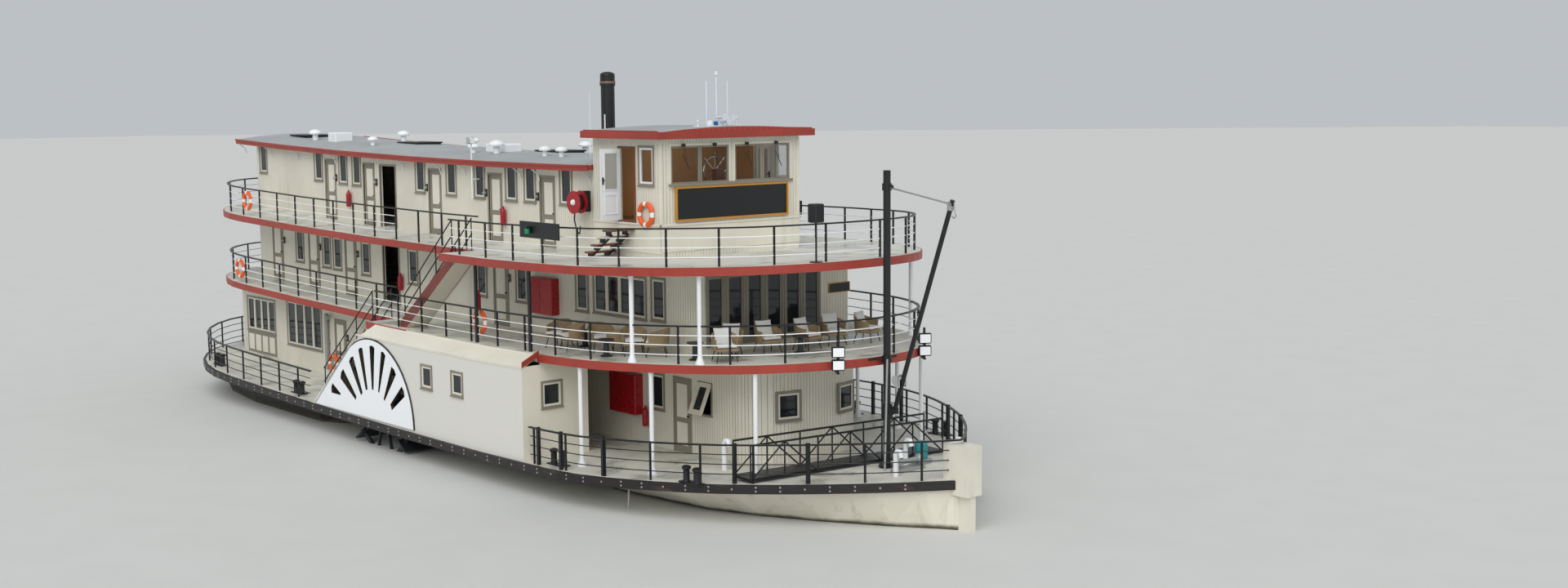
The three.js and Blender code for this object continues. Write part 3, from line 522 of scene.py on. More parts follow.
inside = maths(
    "ADD", *[times(maths("SUBTRACT", axis, foot), part) for axis, foot, part in zip((x, z), FAN_FOOT, lean)]
)
in_fan = times(under(reach, 3.2), under(x, 1.35), under(z, 3.42), over(inside, 0.1))
# Painted shade: the slots' sides and the box's inside seen through them are painted dark brown, for the shade
# inside the box.
slot_shade = maths("SUBTRACT", times(in_fan, over(outboard, BOX_SIDE - 0.15)), on_side)
shown = colour
for share, code in (
    (times(over(outboard, BOX_SIDE - 0.01), on_side), "DAD8D0"),
    (on_board, "F1F3F5"),
    (times(on_board, over(reach, FAN_RADIUS - 0.045), over(x, shoulder[0])), "1A1A1C"),
    (times(on_board, under(inside, 0.07)), "96979A"),
    (maths("MAXIMUM", slot_shade, 0.0), "3B352D"),
):
    shown = mixed(share, shown, tint(code))
wired(shader, "Base Color", shown)

# %% Edge of the second deck
edge_paint, shader, colour, _ = paint("second_deck_edge_paint", RED, 0.45, 0.1, 0.1)
x = place_axes(shader)[0]
beside_box = times(between(x, 0.2, 0.25), between(x, BOX_FRONT, BOX_FRONT - 0.05))
wired(shader, "Base Color", mixed(beside_box, colour, tint(CREAM)))

# %% Stairs
def stair_paint(name, stringer):
    """The sides in the stringer's colour, undersides cream, treads and risers grey."""
    finish, shader, colour, _ = paint(name, stringer, 0.5, 0.15, 0.1)
    _, facing_y, facing_z = facing_axes(shader)
    shown = mixed(under(unsigned(facing_y), 0.5), colour, tint("A9A8A1"))
    wired(shader, "Base Color", mixed(under(facing_z, -0.3), shown, tint(CREAM)))
    return finish


# %% [markdown]
# ## Glass
#
# From outside, the cabins' windows show only the dark inside and a little sky, so their panes are nearly
# black and very smooth. The pilothouse is glazed all round and one looks through it, so its panes are
# clear. Its doors are solid, so their panes are a pale grey-cream that is a painted reflection of the sky.

# %% Panes
def glass(name, colour, alpha=1.0):
    """Smooth glass with a faint ripple."""
    finish = bpy.data.materials.new(name)
    finish.use_nodes = True
    shader = finish.node_tree.nodes["Principled BSDF"]
    for socket, value in (("Base Color", (*colour, 1)), ("Roughness", 0.06), ("Alpha", alpha)):
        shader.inputs[socket].default_value = value
    ripple = {"Strength": 0.05, "Distance": 0.05, "Height": noise(shader, 1.2, 1)}
    wired(shader, "Normal", added(shader, "Bump", ripple).outputs[0])
    print("glass:", name)
    return finish


dark_glass = glass("dark_window_glass", (0.012, 0.016, 0.02))
# Painted reflection: the pale colour of the door panes stands in for the sky mirrored in them.
sky_glass = glass("sky_lit_glass", (0.40, 0.40, 0.36))
clear_glass = glass("clear_window_glass", (0.02, 0.03, 0.03), 0.12)

# %% [markdown]
# ## Painting the solids
#
# A short table says which finish each solid gets. The names are read from their beginnings, so the two
# sides share a word, and the longest beginning that fits counts.

# %% Finishes of the solids
PAINTED = {
    hull_paint: "hull",
    cream: "stem_head",
    strake_paint: "rubbing_strake",
    deck_paint: "main_deck deck_2 deck_3",
    edge_paint: "deck_2_fascia",
    brick_red: "deck_3_fascia",
    black: "deck_2_rail deck_3_rail bow_rail stern_rail front_board funnel derrick rudder",
    cabin_sheet: "cabin_roof",
    taupe: "cabin_door",
    board_paint: "cabin house pilothouse",
    pilothouse_sheet: "pilothouse_roof",
    timber_brown: "pilothouse_floor",
    white: "pilothouse_door",
    bright: "helm_wheel",
    box_paint: "paddle_box",
    cast_grey: "paddle engine boiler",
    stair_paint("upper_stair_paint", "7C3A30"): "upper_stair",
    stair_paint("lower_stair_paint", "CFCBBF"): "lower_stair",
}
STARTS = {start: finish for finish, starts in PAINTED.items() for start in starts.split()}
for name, solid in nodes.items():
    painted(solid, STARTS[max((start for start in STARTS if name.startswith(start)), key=len)])
print("solids painted:", len(nodes))

# %% [markdown]
# ## Windows
#
# A window here is a flat taupe trim on the boards, a cream sash set a little way into the wall, and a pane.
# There are dozens in a handful of sizes, so each size is modelled once, facing the bow's right hand, and
# copied to its places. Wide windows are several sashes side by side in one trim.

# %% One window
def window(width, height, sashes=1, trim_finish=taupe, sash_finish=cream, pane_finish=dark_glass):
    """A window centred on the origin in a wall whose outer face is at y = 0, seen from -Y."""
    trim = painted(ring_frame("trim", width + 0.11, height + 0.11, 0.065, -0.022, 0.035), trim_finish)
    made = [trim]
    share = width / sashes
    for index in range(sashes):
        middle = -width / 2 + share * (index + 0.5)
        sash = ring_frame("sash", share - 0.012, height - 0.012, 0.058, -0.004, 0.05, (middle, 0))
        made.append(painted(sash, sash_finish))
        low = (middle - share / 2 + 0.05, 0.022, -height / 2 + 0.05)
        high = (middle + share / 2 - 0.05, 0.03, height / 2 - 0.05)
        made.append(painted(block("pane", low, high), pane_finish))
    low = (-width / 2 - 0.07, -0.05, -height / 2 - 0.075)
    high = (width / 2 + 0.07, 0, -height / 2 - 0.045)
    made.append(painted(block("sill", low, high), trim_finish))
    return joined("window", made)


def window_rows(name, half, deck_top, rows):
    """All windows of both side walls: each row is (x, width, sill, height, sashes)."""
    patterns, placed = {}, []
    for x, width, sill, height, sashes in rows:
        size = (width, height, sashes)
        if size not in patterns:
            patterns[size] = window(*size)
        z = deck_top + rise(x) + sill + height / 2
        placed.append(moved_copy(patterns[size], at(x, -half, z)))
    removed(*patterns.values())
    fitted_both(name, placed)


# %% Rows of windows on the side walls
# half breadths of the lowest and middle houses, the cabins and the lowest house's forward part
HOUSE_1, HOUSE_2, CABIN, FORWARD = 3.15, 2.7, 2.33, 2.0
HOUSE_2_X = (-12.22, -10.14, -9.33, -7.25, -4.05, 0.18, 2.45, 5.60, 7.42, 9.21)
CABIN_X = (-15.75, -11.26, -9.40, -8.42, -4.05, -2.09, -0.38, 1.43, 2.46, 4.36)
SALOON_X = 7.42

rows = [(x, 2.42, 0.85, 1.10, 4) if x == SALOON_X else (x, 0.56, 0.85, 1.10, 1) for x in HOUSE_2_X]
window_rows("house_2_windows", HOUSE_2, SECOND, rows)
window_rows("cabin_windows", CABIN, THIRD, [(x, 0.56, 1.35, 1.05, 1) for x in CABIN_X])
window_rows("house_1_windows", HOUSE_1, MAIN, [(-11.18, 2.65, 0.78, 1.55, 4)])
window_rows("forward_house_windows", FORWARD, MAIN, [(8.2, 0.55, 1.1, 0.95, 1)])

# %% Windows in the cross walls and the paddle boxes
def placed_window(width, height, x, y, z, turn=0.0, **finishes):
    """One window in its place."""
    made = window(width, height, **finishes)
    made.data.transform(at(x, y, z, turn))
    return made


AFT_WINDOWS = [
    # name, x, y, deck, width, sill, height
    ("house_1_aft_windows", -16.3, 1.7, MAIN, 0.9, 0.9, 1.0),
    ("house_2_aft_windows", -15.5, 1.6, SECOND, 0.56, 0.85, 1.1),
    ("cabin_aft_windows", -16.3, 1.4, THIRD, 0.56, 1.35, 1.05),
]
for name, x, out, deck_top, width, sill, height in AFT_WINDOWS:
    z = deck_top + rise(x) + sill + height / 2
    pair = [placed_window(width, height, x, y, z, -90) for y in (-out, out)]
    fitted(name, pair)
placed = [placed_window(0.6, 0.66, BOX_FRONT, -4.95, 2.63 + rise(BOX_FRONT), 90)]
placed += [placed_window(0.56, 0.63, x, -BOX_SIDE, 2.645) for x in (2.23, 3.93)]
fitted_both("paddle_box_windows", placed)

# %% Front windows, and one that hangs open
placed = [
    placed_window(0.66, 0.7, 12.66, y, MAIN + rise(12.7) + 1.5, turn)
    for y, turn in ((-1.05, 77), (1.05, 103))
]
fitted("forward_house_front_windows", placed)

HINGE_UP, SWUNG = 0.42, -24
opening = painted(ring_frame("trim", 0.62, 0.95, 0.055, -0.022, 0.035), taupe)
sash = window(0.44, 0.77, trim_finish=cream)
sash.data.transform(Matrix.Translation((0, -0.03, -HINGE_UP)))
sash.data.transform(Matrix.Rotation(math.radians(SWUNG), 4, "X"))
sash.data.transform(Matrix.Translation((0, 0, HINGE_UP)))
hung = joined("hung_window", [opening, sash])
hung.data.transform(at(10.32, -FORWARD, MAIN + rise(10.32) + 1.575))
fitted_both("forward_house_hung_window", [hung])

# %% [markdown]
# ## Doors
#
# The cabin doors are solids that swing on their own bodies, so their panels ride on the same bodies. The
# other doors stay shut: each is a slab with two raised panels in a trim.

# %% One door and its trim
def doorway_trim(width, height, bar=0.06):
    """A trim round a doorway that stands on y = 0; its lowest bar is hidden in the deck."""
    frame_size = (width + 2 * bar, height + 2 * bar, bar)
    return painted(ring_frame("trim", *frame_size, -0.024, 0.03, (0, height / 2)), taupe)


def door_panels(width, height, front):
    """A tall upper panel and a lower one, raised from the door's face, and a handle."""
    across, knob_x = width / 2 - 0.11, width / 2 - 0.06
    rows = [
        (cream, block, "panel", (-across, front, height * low), (across, front + 0.02, height * high), 0.008)
        for low, high in ((0.08, 0.40), (0.47, 0.94))
    ]
    rows.append((black, rod, "knob", (knob_x, front - 0.04, 1.0), (knob_x, front + 0.02, 1.0), 0.022))
    return parts(rows)


def shut_door(width, height):
    """A door that stays shut, in its trim."""
    slab = painted(block("slab", (-width / 2, -0.012, 0), (width / 2, 0.03, height)), taupe)
    return joined("door", [doorway_trim(width, height), slab, *door_panels(width, height, -0.03)])


SHUT_DOORS = [
    # name, wall's half breadth, deck, places along the ship, width
    ("house_2_doors", HOUSE_2, SECOND, (-13.99, -11.1, -8.33, 1.31), 0.72),
    ("house_1_doors", HOUSE_1, MAIN, (-8.41,), 0.72),
    ("forward_house_doors", FORWARD, MAIN, (9.32,), 0.68),
]
for name, half, deck_top, places, width in SHUT_DOORS:
    pattern = shut_door(width, 2.0)
    placed = [moved_copy(pattern, at(x, -half, deck_top + rise(x) + 0.03)) for x in places]
    removed(pattern)
    fitted_both(name, placed)

# %% Cabin doors and open passages
CABIN_DOORS = (-10.35, -7.55, -3.12, 0.5, 3.39)
DOORWAYS = [(0.7, x, CABIN, THIRD) for x in CABIN_DOORS]
DOORWAYS += [(1.02, -6.22, CABIN, THIRD), (1.05, -5.5, HOUSE_2, SECOND)]
trims = []
for width, x, half, deck_top in DOORWAYS:
    trims.append(doorway_trim(width, 2.08))
    trims[-1].data.transform(at(x, -half, deck_top + rise(x)))
fitted_both("doorway_trims", trims)

for side_name, side in SIDES.items():
    for index, x in enumerate(CABIN_DOORS, 1):
        name = f"cabin_door_panels_{side_name}_{index}"
        panels = joined(name, door_panels(0.66, 2.04, -0.014))
        if side > 0:
            panels.data.transform(ACROSS)
            panels.data.flip_normals()
        panels.data.transform(Matrix.Translation((x, side * 2.29, THIRD + rise(x) + 0.02)))
        fitted(name, [panels], f"cabin_door_{side_name}_{index}_leaf")

# %% The folding doors of the lowest house
FOLDING_X, LEAF = -14.7, 0.58
base = MAIN + rise(FOLDING_X)
folding = [placed_window(2.3, 1.2, FOLDING_X, -HOUSE_1, base + 1.5, sashes=4)]
rows = [(taupe, block, "slab", (-15.9, -3.165, base + 0.02), (-13.5, -3.14, base + 0.84))]
for index in range(4):
    x = FOLDING_X + (index - 1.5) * LEAF
    low, high = (x - 0.22, -3.185, base + 0.12), (x + 0.22, -3.16, base + 0.72)
    rows.append((cream, block, "panel", low, high, 0.01))
fitted_both("folding_doors", folding + parts(rows))

# %% [markdown]
# ## Saloon front
#
# The saloon opens to the forward deck through six tall glazed doors, hung in the openings of the solid.

# %% Six glazed doors
z = SECOND + rise(11.0) + 0.26 + 0.9
glazed = [placed_window(0.56, 1.8, 11.0, -2.16 + 0.692 * i, z, 90, sash_finish=taupe) for i in range(6)]
fitted("saloon_doors", glazed)

# %% [markdown]
# ## Deck outlines and railings
#
# A railing follows the edge of its deck, which is rounded at both ends and rises with the sheer. The top
# rail and posts are solids already. The lower bars are curves bent along the same line, white on the upper
# decks and black on the main deck.

# %% The decks' outlines
DECKS = {
    # each end: half breadth, where it starts, its length and two exponents; then the step between them
    "main": ((6.0, 8.2, 9.9, 1.88, 1.11), (6.0, -11.3, 7.2, 2.2, 2.3), None),
    "second": ((5.4, 6.5, 8.65, 2.2, 2.0), (4.4, -13.3, 4.6, 2.5, 2.5), -2.3),
    "third": ((5.6, 6.6, 8.0, 2.15, 2.26), (4.4, -13.3, 4.6, 2.5, 2.5), 2.6),
}


def rounded_end(end, inset, steps, direction):
    """From the centreline to the side, as points of one rounded end of a deck."""
    half, start, length, q, p = end
    points = []
    for step in range(steps + 1):
        angle = math.pi / 2 * (1 - step / steps)
        along = math.sin(angle) ** (2 / q)
        across = max(math.cos(angle), 0) ** (2 / p) if step else 0
        points.append((start + direction * (length - inset * 1.2) * along, (half - inset) * across))
    return points


def deck_edge(deck, inset):
    """The port edge of a deck from bow to stern, moved in by inset."""
    bow, stern, step = DECKS[deck]
    line = rounded_end(bow, inset, 18, 1)
    if step is not None:
        line += [(step + inset, bow[0] - inset), (step + inset, stern[0] - inset)]
    return line + rounded_end(stern, inset, 9, -1)[::-1]


def edge_y(deck, x, inset):
    """Half the breadth at x of a deck's forward part, moved in by inset."""
    line = deck_edge(deck, inset)
    after = next(i for i, point in enumerate(line) if point[0] < x)
    (x0, y0), (x1, y1) = line[after - 1], line[after]
    return y0 + (y1 - y0) * (x - x0) / (x1 - x0)


def level_line(deck, inset, top, low_x, high_x):
    """The edge between two places along the ship, port then starboard, at a height that follows the sheer."""
    port = []
    line = deck_edge(deck, inset)
    for (x0, y0), (x1, y1) in zip(line, line[1:]):
        port.append((x0, y0))
        cuts = [x for x in (*STATIONS, low_x, high_x) if min(x0, x1) < x < max(x0, x1)]
        port += [(x, y0 + (y1 - y0) * (x - x0) / (x1 - x0)) for x in sorted(cuts, reverse=x1 < x0)]
    port.append(line[-1])
    kept = [(x, y, top + rise(x)) for x, y in port if low_x - 1e-6 <= x <= high_x + 1e-6]
    starboard = [(x, -y, z) for x, y, z in kept if y > 1e-6]
    return kept[::-1] + starboard if kept[0][1] < 1e-6 else kept + starboard[::-1]


# %% Lower bars of every railing
RAIL_INSET, PAST_END = 0.19, 20
RAILINGS = [
    # name, deck, top of the deck, from x, to x
    ("bow_lower_rails", "main", MAIN, 7.5, PAST_END),
    ("stern_lower_rails", "main", MAIN, -PAST_END, -5.45),
    ("deck_2_lower_rails_forward", "second", SECOND, -1.96, PAST_END),
    ("deck_2_lower_rails_aft", "second", SECOND, -PAST_END, -2.44),
    ("deck_3_lower_rails_forward", "third", THIRD, 2.94, PAST_END),
    ("deck_3_lower_rails_aft", "third", THIRD, -PAST_END, -2.44),
]
for name, deck, top, low_x, high_x in RAILINGS:
    finish, slot = (black, "black_paint") if deck == "main" else (white, "white_paint")
    lines = [level_line(deck, RAIL_INSET, top + height, low_x, high_x) for height in (0.24, 0.49, 0.74)]
    fitted(name, parts((finish, bent, "bar", line, 0.014, 1) for line in lines))

# %% Posts with flared ends
def flared_post(x, y, low, high, radius=0.06):
    """A post with a flared foot and head, over the plain one in the solid."""
    profile = [
        (0.13, low), (0.13, low + 0.02), (radius + 0.012, low + 0.16), (radius, low + 0.22),
        (radius, high - 0.22), (radius + 0.012, high - 0.16), (0.12, high - 0.02), (0.12, high),
    ]
    return turned("post", profile, 12, (x, y, 0))


POSTS = [(x, 0.125, MAIN, SECOND) for x in (8.9, 11.2, 13.6)]
POSTS += [(x, RAIL_INSET, SECOND, THIRD) for x in (10.6, 12.4)]
rows = []
for x, inset, foot, head in POSTS:
    y = -edge_y("second", x, inset)
    rows.append((white, flared_post, x, y, foot + rise(x) + 0.004, head - 0.1 + rise(x)))
fitted_both("white_posts", parts(rows))

# %% [markdown]
# ## Pilothouse
#
# The pilothouse has glass on every side, a wide blank board on its front and a roof with a deep red edge.
# Its panes are clear, so the wheel and the timber lining show behind them.

# %% Front panes, lining, wipers and board
FRONT, WALL, CLEAR = 9.14, 2.52, {"pane_finish": clear_glass}
panes = [
    placed_window(2.07, 1.06, FRONT, y, 8.86, 90, sashes=2, **CLEAR, trim_finish=cream, sash_finish=taupe)
    for y in (-1.135, 1.135)
]
panes += parts([(taupe, block, "sill", (9.12, -2.24, 8.27), (9.215, 2.24, 8.355), 0.01)])
fitted("pilothouse_front_windows", panes)

# Painted light: the lining is the same varnished timber as the floor and steps, painted lighter so that it
# shows in the pilothouse's shade.
lightened_lining_timber = paint("lightened_lining_timber", "C08C55", 0.4, 0.25, 0.1)[0]
rows = [(lightened_lining_timber, block, "lining", (6.112, -2.43, 7.302), (6.13, 2.43, 9.5))]
for y in (-2.435, 2.435):
    post_y = y * 0.97
    rows.append((lightened_lining_timber, block, "lining", (6.13, y - 0.006, 7.302), (7.22, y + 0.006, 9.5)))
    rows.append((lightened_lining_timber, block, "jamb", (8.98, post_y - 0.05, 8.3), (9.05, post_y + 0.05, 9.42)))
fitted("pilothouse_lining", parts(rows))

rows = []
for y in (-1.75, -0.65, 0.52, 1.62):
    rows.append((black, block, "motor", (9.16, y - 0.05, 9.36), (9.24, y + 0.05, 9.44), 0.01))
    rows.append((black, rod, "arm", (9.23, y, 9.38), (9.20, y + 0.1, 8.98), 0.008, 6))
    rows.append((black, rod, "blade", (9.185, y - 0.02, 9.16), (9.185, y + 0.2, 8.74), 0.012, 6))
fitted("pilothouse_wipers", parts(rows))

board_frame = painted(ring_frame("frame", 4.1, 0.95, 0.055, -0.02, 0.04), sign_gold)
board_frame.data.transform(at(9.205, 0, 7.795, 90))
fitted("board_frame", [board_frame])

# %% Skirt, ledges and corner boards
rows = []
for y in (-2.535, 2.535):
    low_y, high_y = sorted((y, y * 0.994))
    rows.append((cream, block, "skirt", (6.02, low_y, 6.45), (9.16, high_y, 7.22), 0.004))
rows += [
    (cream, block, "skirt", (FRONT, -2.535, 6.5), (9.162, 2.535, 7.22), 0.004),
    (cream, block, "ledge", (6.0, -2.56, 7.2), (9.19, -WALL, 7.26), 0.01),
    (cream, block, "ledge", (6.0, WALL, 7.2), (9.19, 2.56, 7.26), 0.01),
    (cream, block, "ledge", (9.13, -2.56, 7.2), (9.19, 2.56, 7.26), 0.01),
]
rows += [(cream, block, "corner", (9.1, y - 0.04, 7.26), (9.16, y + 0.04, 9.54), 0.006) for y in (-2.5, 2.5)]
fitted("pilothouse_skirt", parts(rows))

# %% Casements, door frames and the glazed doors
DOOR_X, LEAF_Z = 7.63, 7.316
casement = placed_window(0.62, 1.0, 8.52, -WALL, 8.845, **CLEAR, trim_finish=taupe, sash_finish=white)
jamb = painted(ring_frame("jamb", 0.8, 2.11, 0.055, -0.03, 0.05, (0, 1.0)), timber_brown)
jamb.data.transform(at(DOOR_X, -WALL, 7.31))
fitted_both("pilothouse_side_windows", [casement, jamb])


def glazed_leaf(free_end, x, y, turn):
    """What dresses one face of a half-glazed leaf, with the knob towards its free end, 1 or -1."""
    knob_x = 0.28 * free_end
    made = parts([
        (white, ring_frame, "bead", 0.48, 1.06, 0.035, -0.016, 0.006, (0, 1.36)),
        (sky_glass, block, "pane", (-0.21, -0.006, 0.86), (0.21, 0.002, 1.86)),
        (white, ring_frame, "moulding", 0.46, 0.56, 0.03, -0.014, 0.004, (0, 0.44)),
        (black, block, "lock", (knob_x - 0.02, -0.02, 1.0), (knob_x + 0.02, 0.002, 1.2)),
        (black, rod, "knob", (knob_x, -0.07, 1.12), (knob_x, 0.0, 1.12), 0.024),
    ])
    face = joined("face", made)
    face.data.transform(at(x, y, LEAF_Z, turn))
    return face


# The starboard door stands open, square to the wall; the port one is shut.
LEAF_FACES = {
    # side: x, y and turn of the leaf's two faces
    "starboard": ((7.333, -2.8535, 90), (7.286, -2.8535, -90)),
    "port": ((7.6275, 2.528, 180), (7.6275, 2.48, 0)),
}
for side_name, (outer, inner) in LEAF_FACES.items():
    faces = [glazed_leaf(-1, *outer), glazed_leaf(1, *inner)]
    leaf_body = f"pilothouse_door_{side_name}_leaf"
    fitted(f"pilothouse_door_glazing_{side_name}", faces, leaf_body)

# %% Boarding steps beside the pilothouse
rows = []
for index in range(4):
    x, z = 8.0 - 0.29 * index, 7.1 - 0.215 * index
    rows.append((timber_brown, block, "tread", (x - 0.3, -3.45, z - 0.05), (x, -2.56, z), 0.008))
    for y in (-3.3, -2.75):
        rows.append((black, block, "bracket", (x - 0.3, y - 0.03, z - 0.17), (x - 0.1, y + 0.03, z - 0.05)))
rows += [(black, rod, "stringer", (7.95, y, 6.95), (7.0, y, 6.32), 0.035, 6) for y in (-3.3, -2.75)]
fitted_both("pilothouse_steps", parts(rows))

# %% [markdown]
# ## Pilothouse roof
#
# The roof's edge is a deep red board with a second, smaller one above it. On top stand three pale rods,
# the middle one with a lamp, and a cluster of horns, cups and a dome at their feet.

# %% Roof edge
LOW, HIGH, LIP_LOW, LIP_TOP = 9.58, 9.78, 9.77, 9.81
EDGES = [((5.92, y - 0.015, LOW), (9.46, y + 0.015, HIGH)) for y in (-2.86, 2.86)]
EDGES += [((x - 0.015, -2.87, LOW), (x + 0.015, 2.87, HIGH)) for x in (5.92, 9.46)]
EDGES += [((5.98, y - 0.02, LIP_LOW), (9.4, y + 0.02, LIP_TOP)) for y in (-2.8, 2.8)]
fitted("pilothouse_roof_edge", parts((brick_red, block, "edge", *ends, 0.004) for ends in EDGES))

# %% Rods, horns and lamp on the roof
pale_steel = paint("pale_steel", "DCE1E6", 0.35, 0.08, 0.0, 0.3)[0]
pump_blue = paint("compressor_blue", "2C63A6", 0.4, 0.1, 0.0)[0]
DOME = [(0.11, 0), (0.11, 0.06), (0.09, 0.14), (0.04, 0.18)]
HORN = [(0.03, 0), (0.035, 0.2), (0.05, 0.3), (0.085, 0.36), (0.1, 0.38)]
ROD_LAMP = [(0.03, 0), (0.06, 0.02), (0.06, 0.1), (0.02, 0.13)]
rows = [
    (pale_steel, rod, "rod", (8.4, y, 9.85), (8.4, y, top), 0.026, 8)
    for y, top in ((-0.28, 11.14), (0.08, 11.3), (0.48, 11.14))
]
rows.append((pale_steel, turned, "lamp", ROD_LAMP, 12, (8.4, 0.08, 11.29)))
rows.append((pale_steel, turned, "dome", DOME, 14, (8.6, -0.32, 9.87)))
for y, tall in ((-0.76, 0.2), (0.64, 0.28)):
    cup = [(0.03, 0), (0.03, tall - 0.1), (0.055, tall - 0.08), (0.06, tall - 0.01), (0.03, tall)]
    rows.append((pale_steel, turned, "cup", cup, 12, (8.6, y, 9.87)))
for y, z in ((-0.02, 10.12), (0.14, 10.0), (0.3, 10.1)):
    rows.append((pale_steel, turned, "horn", HORN, 14, (8.5, y, z), (1, 0, 0.05)))
    rows.append((pale_steel, block, "mount", (8.56, y - 0.025, 9.85), (8.62, y + 0.025, z)))
rows.append((pale_steel, block, "plate", (8.5, -0.85, 9.86), (8.72, 0.72, 9.905), 0.01))
rows.append((pump_blue, block, "compressor", (8.52, -0.2, 9.88), (8.66, -0.07, 10.02), 0.02))
fitted("pilothouse_roof_gear", parts(rows))

# %% [markdown]
# ## Cabin roof
#
# The long roof is a ribbed sheet with a red gutter along its sides. It carries mushroom vents for the
# cabins' air, hatches, flat black panels and a floodlight on a bracket.

# %% Gutter and brackets
ROOF_TOP, ROOF_HALF = 8.64, 2.68
gutter = []
ends = [-17.3, -13.5, -9.0, -4.0, 0.5, 5.0, 5.99]
for start, end in zip(ends, ends[1:]):
    for low, high, out in ((-0.03, 0.09, 0.03), (0.09, 0.15, 0.06)):
        piece = block("gutter", (start, -ROOF_HALF - out, low), (end, -ROOF_HALF + 0.01, high))
        for corner in piece.data.vertices:
            corner.co.z += ROOF_TOP + rise(corner.co.x)
        gutter.append(painted(piece, brick_red))
rows = []
for x in (-17.2, -15.0, -12.8, -9.9, -5.1, -2.7, -1.2, 2.0, 3.0, 5.6):
    z = ROOF_TOP + rise(x)
    arm = [(x, -CABIN, z - 0.42), (x, -2.4, z - 0.2), (x, -2.62, z - 0.04)]
    rows.append((white, bent, "bracket", arm, 0.018, 1))
fitted_both("roof_gutter", gutter + parts(rows))

# %% Vents, hatches and panels
def roof_z(x, y):
    """The height of the cambered cabin roof."""
    return ROOF_TOP + rise(x) + 0.13 + 0.19 * (1 - (y / ROOF_HALF) ** 2)


VENT = [
    (0.1, -0.05), (0.1, 0.16), (0.09, 0.2), (0.22, 0.2),
    (0.235, 0.25), (0.2, 0.32), (0.1, 0.37), (0.02, 0.38),
]
VENTS = [
    # x, y, size
    (-13.7, -1.2, 1.0), (-9.3, -1.2, 0.8), (-2.4, -1.3, 0.8), (-1.3, -1.1, 1.1), (1.6, -1.2, 0.8),
    (2.5, -1.2, 0.8), (-11.4, 1.2, 1.0), (-6.4, 1.2, 0.8), (0.2, 1.3, 1.0), (4.7, 1.1, 0.8),
]
COWL = [(0.17, 0), (0.17, 0.42), (0.19, 0.44), (0.19, 0.5), (0.06, 0.56)]
rows = []
for x, y, size in VENTS:
    profile = [(radius * size, height * size) for radius, height in VENT]
    rows.append((white, turned, "vent", profile, 16, (x, y, roof_z(x, y))))
for x, y, long, wide, tall in ((-12.3, -0.9, 0.6, 0.7, 0.3), (-2.0, -0.4, 1.1, 0.7, 0.24)):
    z = roof_z(x, y)
    low, high = (x - long / 2, y - wide / 2, z - 0.08), (x + long / 2, y + wide / 2, z + tall)
    rows.append((white, block, "hatch", low, high, 0.03))
for x, y in ((4.35, -0.55), (5.2, -0.55)):
    rows.append((white, turned, "cowl", COWL, 18, (x, y, roof_z(x, y) + 0.12)))
fitted("roof_vents", parts(rows))

rows = []
for x, y in ((-15.3, -0.6), (-8.8, 0.4), (-0.2, 0.6)):
    z = roof_z(x, y)
    rows.append((black, block, "panel", (x - 0.75, y - 0.5, z + 0.02), (x + 0.75, y + 0.5, z + 0.07), 0.01))
    for rail_x in (x - 0.7, x + 0.62):
        rows.append((black, block, "rail", (rail_x, y - 0.45, z - 0.1), (rail_x + 0.08, y + 0.45, z + 0.03)))
z = roof_z(4.8, -0.55)
rows.append((black, block, "cowl_base", (4.1, -0.8, z - 0.1), (5.45, -0.3, z + 0.12), 0.02))
fitted("roof_panels", parts(rows))

# %% Floodlight, aerials and funnel
rows = [
    (white, rod, "pole", (-0.35, -2.62, 7.6), (-0.35, -2.62, 9.35), 0.025, 8),
    (white, rod, "stay", (-0.35, -2.62, 8.2), (-0.35, -2.36, 8.2), 0.018, 6),
    (bright, block, "housing", (-0.47, -2.74, 9.3), (-0.19, -2.56, 9.5), 0.03),
    (white, block, "lens", (-0.2, -2.72, 9.32), (-0.18, -2.58, 9.48)),
]
fitted("roof_floodlight", parts(rows))
rows = [
    (white, rod, "aerial", (3.75, -1.0, 8.9), (3.75, -1.0, 10.9), 0.012, 6, 0.006),
    (white, rod, "aerial", (3.95, -0.6, 8.9), (3.95, -0.6, 10.2), 0.02, 6),
]
fitted("roof_aerials", parts(rows))
copper = paint("dull_copper", "A08476", 0.4, 0.2, 0.15, 0.2, 0.8)[0]
FUNNEL_AT = (3.29, 0, 0)
CAP = [(0.228, 11.39), (0.215, 11.42), (0.15, 11.46), (0.06, 11.48)]
RING = [(0.232, 11.125), (0.242, 11.13), (0.242, 11.19), (0.232, 11.195)]
fitted("funnel_cap", parts([(black, turned, "cap", CAP, 24, FUNNEL_AT)]))
fitted("funnel_ring", parts([(copper, turned, "ring", RING, 24, FUNNEL_AT)]))

# %% [markdown]
# ## Safety gear and small fittings on the decks
#
# Lifebuoys hang on the rails and walls, red extinguishers and a hose reel stand by the doors, and small
# lamps are fixed over the walkways.

# %% Lifebuoys
BAND_EVERY, BAND_WIDE = 90, 22


def lifebuoy():
    """An orange ring with four white bands, facing -Y."""
    bpy.ops.mesh.primitive_torus_add(
        major_segments=32,
        minor_segments=10,
        major_radius=0.29,
        minor_radius=0.075,
        rotation=(math.pi / 2, 0, 0),
    )
    ring = settled("buoy")
    bpy.ops.object.shade_smooth_by_angle(angle=math.radians(60))
    ring.data.transform(Matrix.Scale(0.75, 4, (0, 1, 0)))
    painted(ring, orange)
    ring.data.materials.append(white)
    for face in ring.data.polygons:
        angle = math.degrees(math.atan2(face.center.z, face.center.x)) + BAND_WIDE / 2
        face.material_index = int(angle % BAND_EVERY < BAND_WIDE)
    return ring


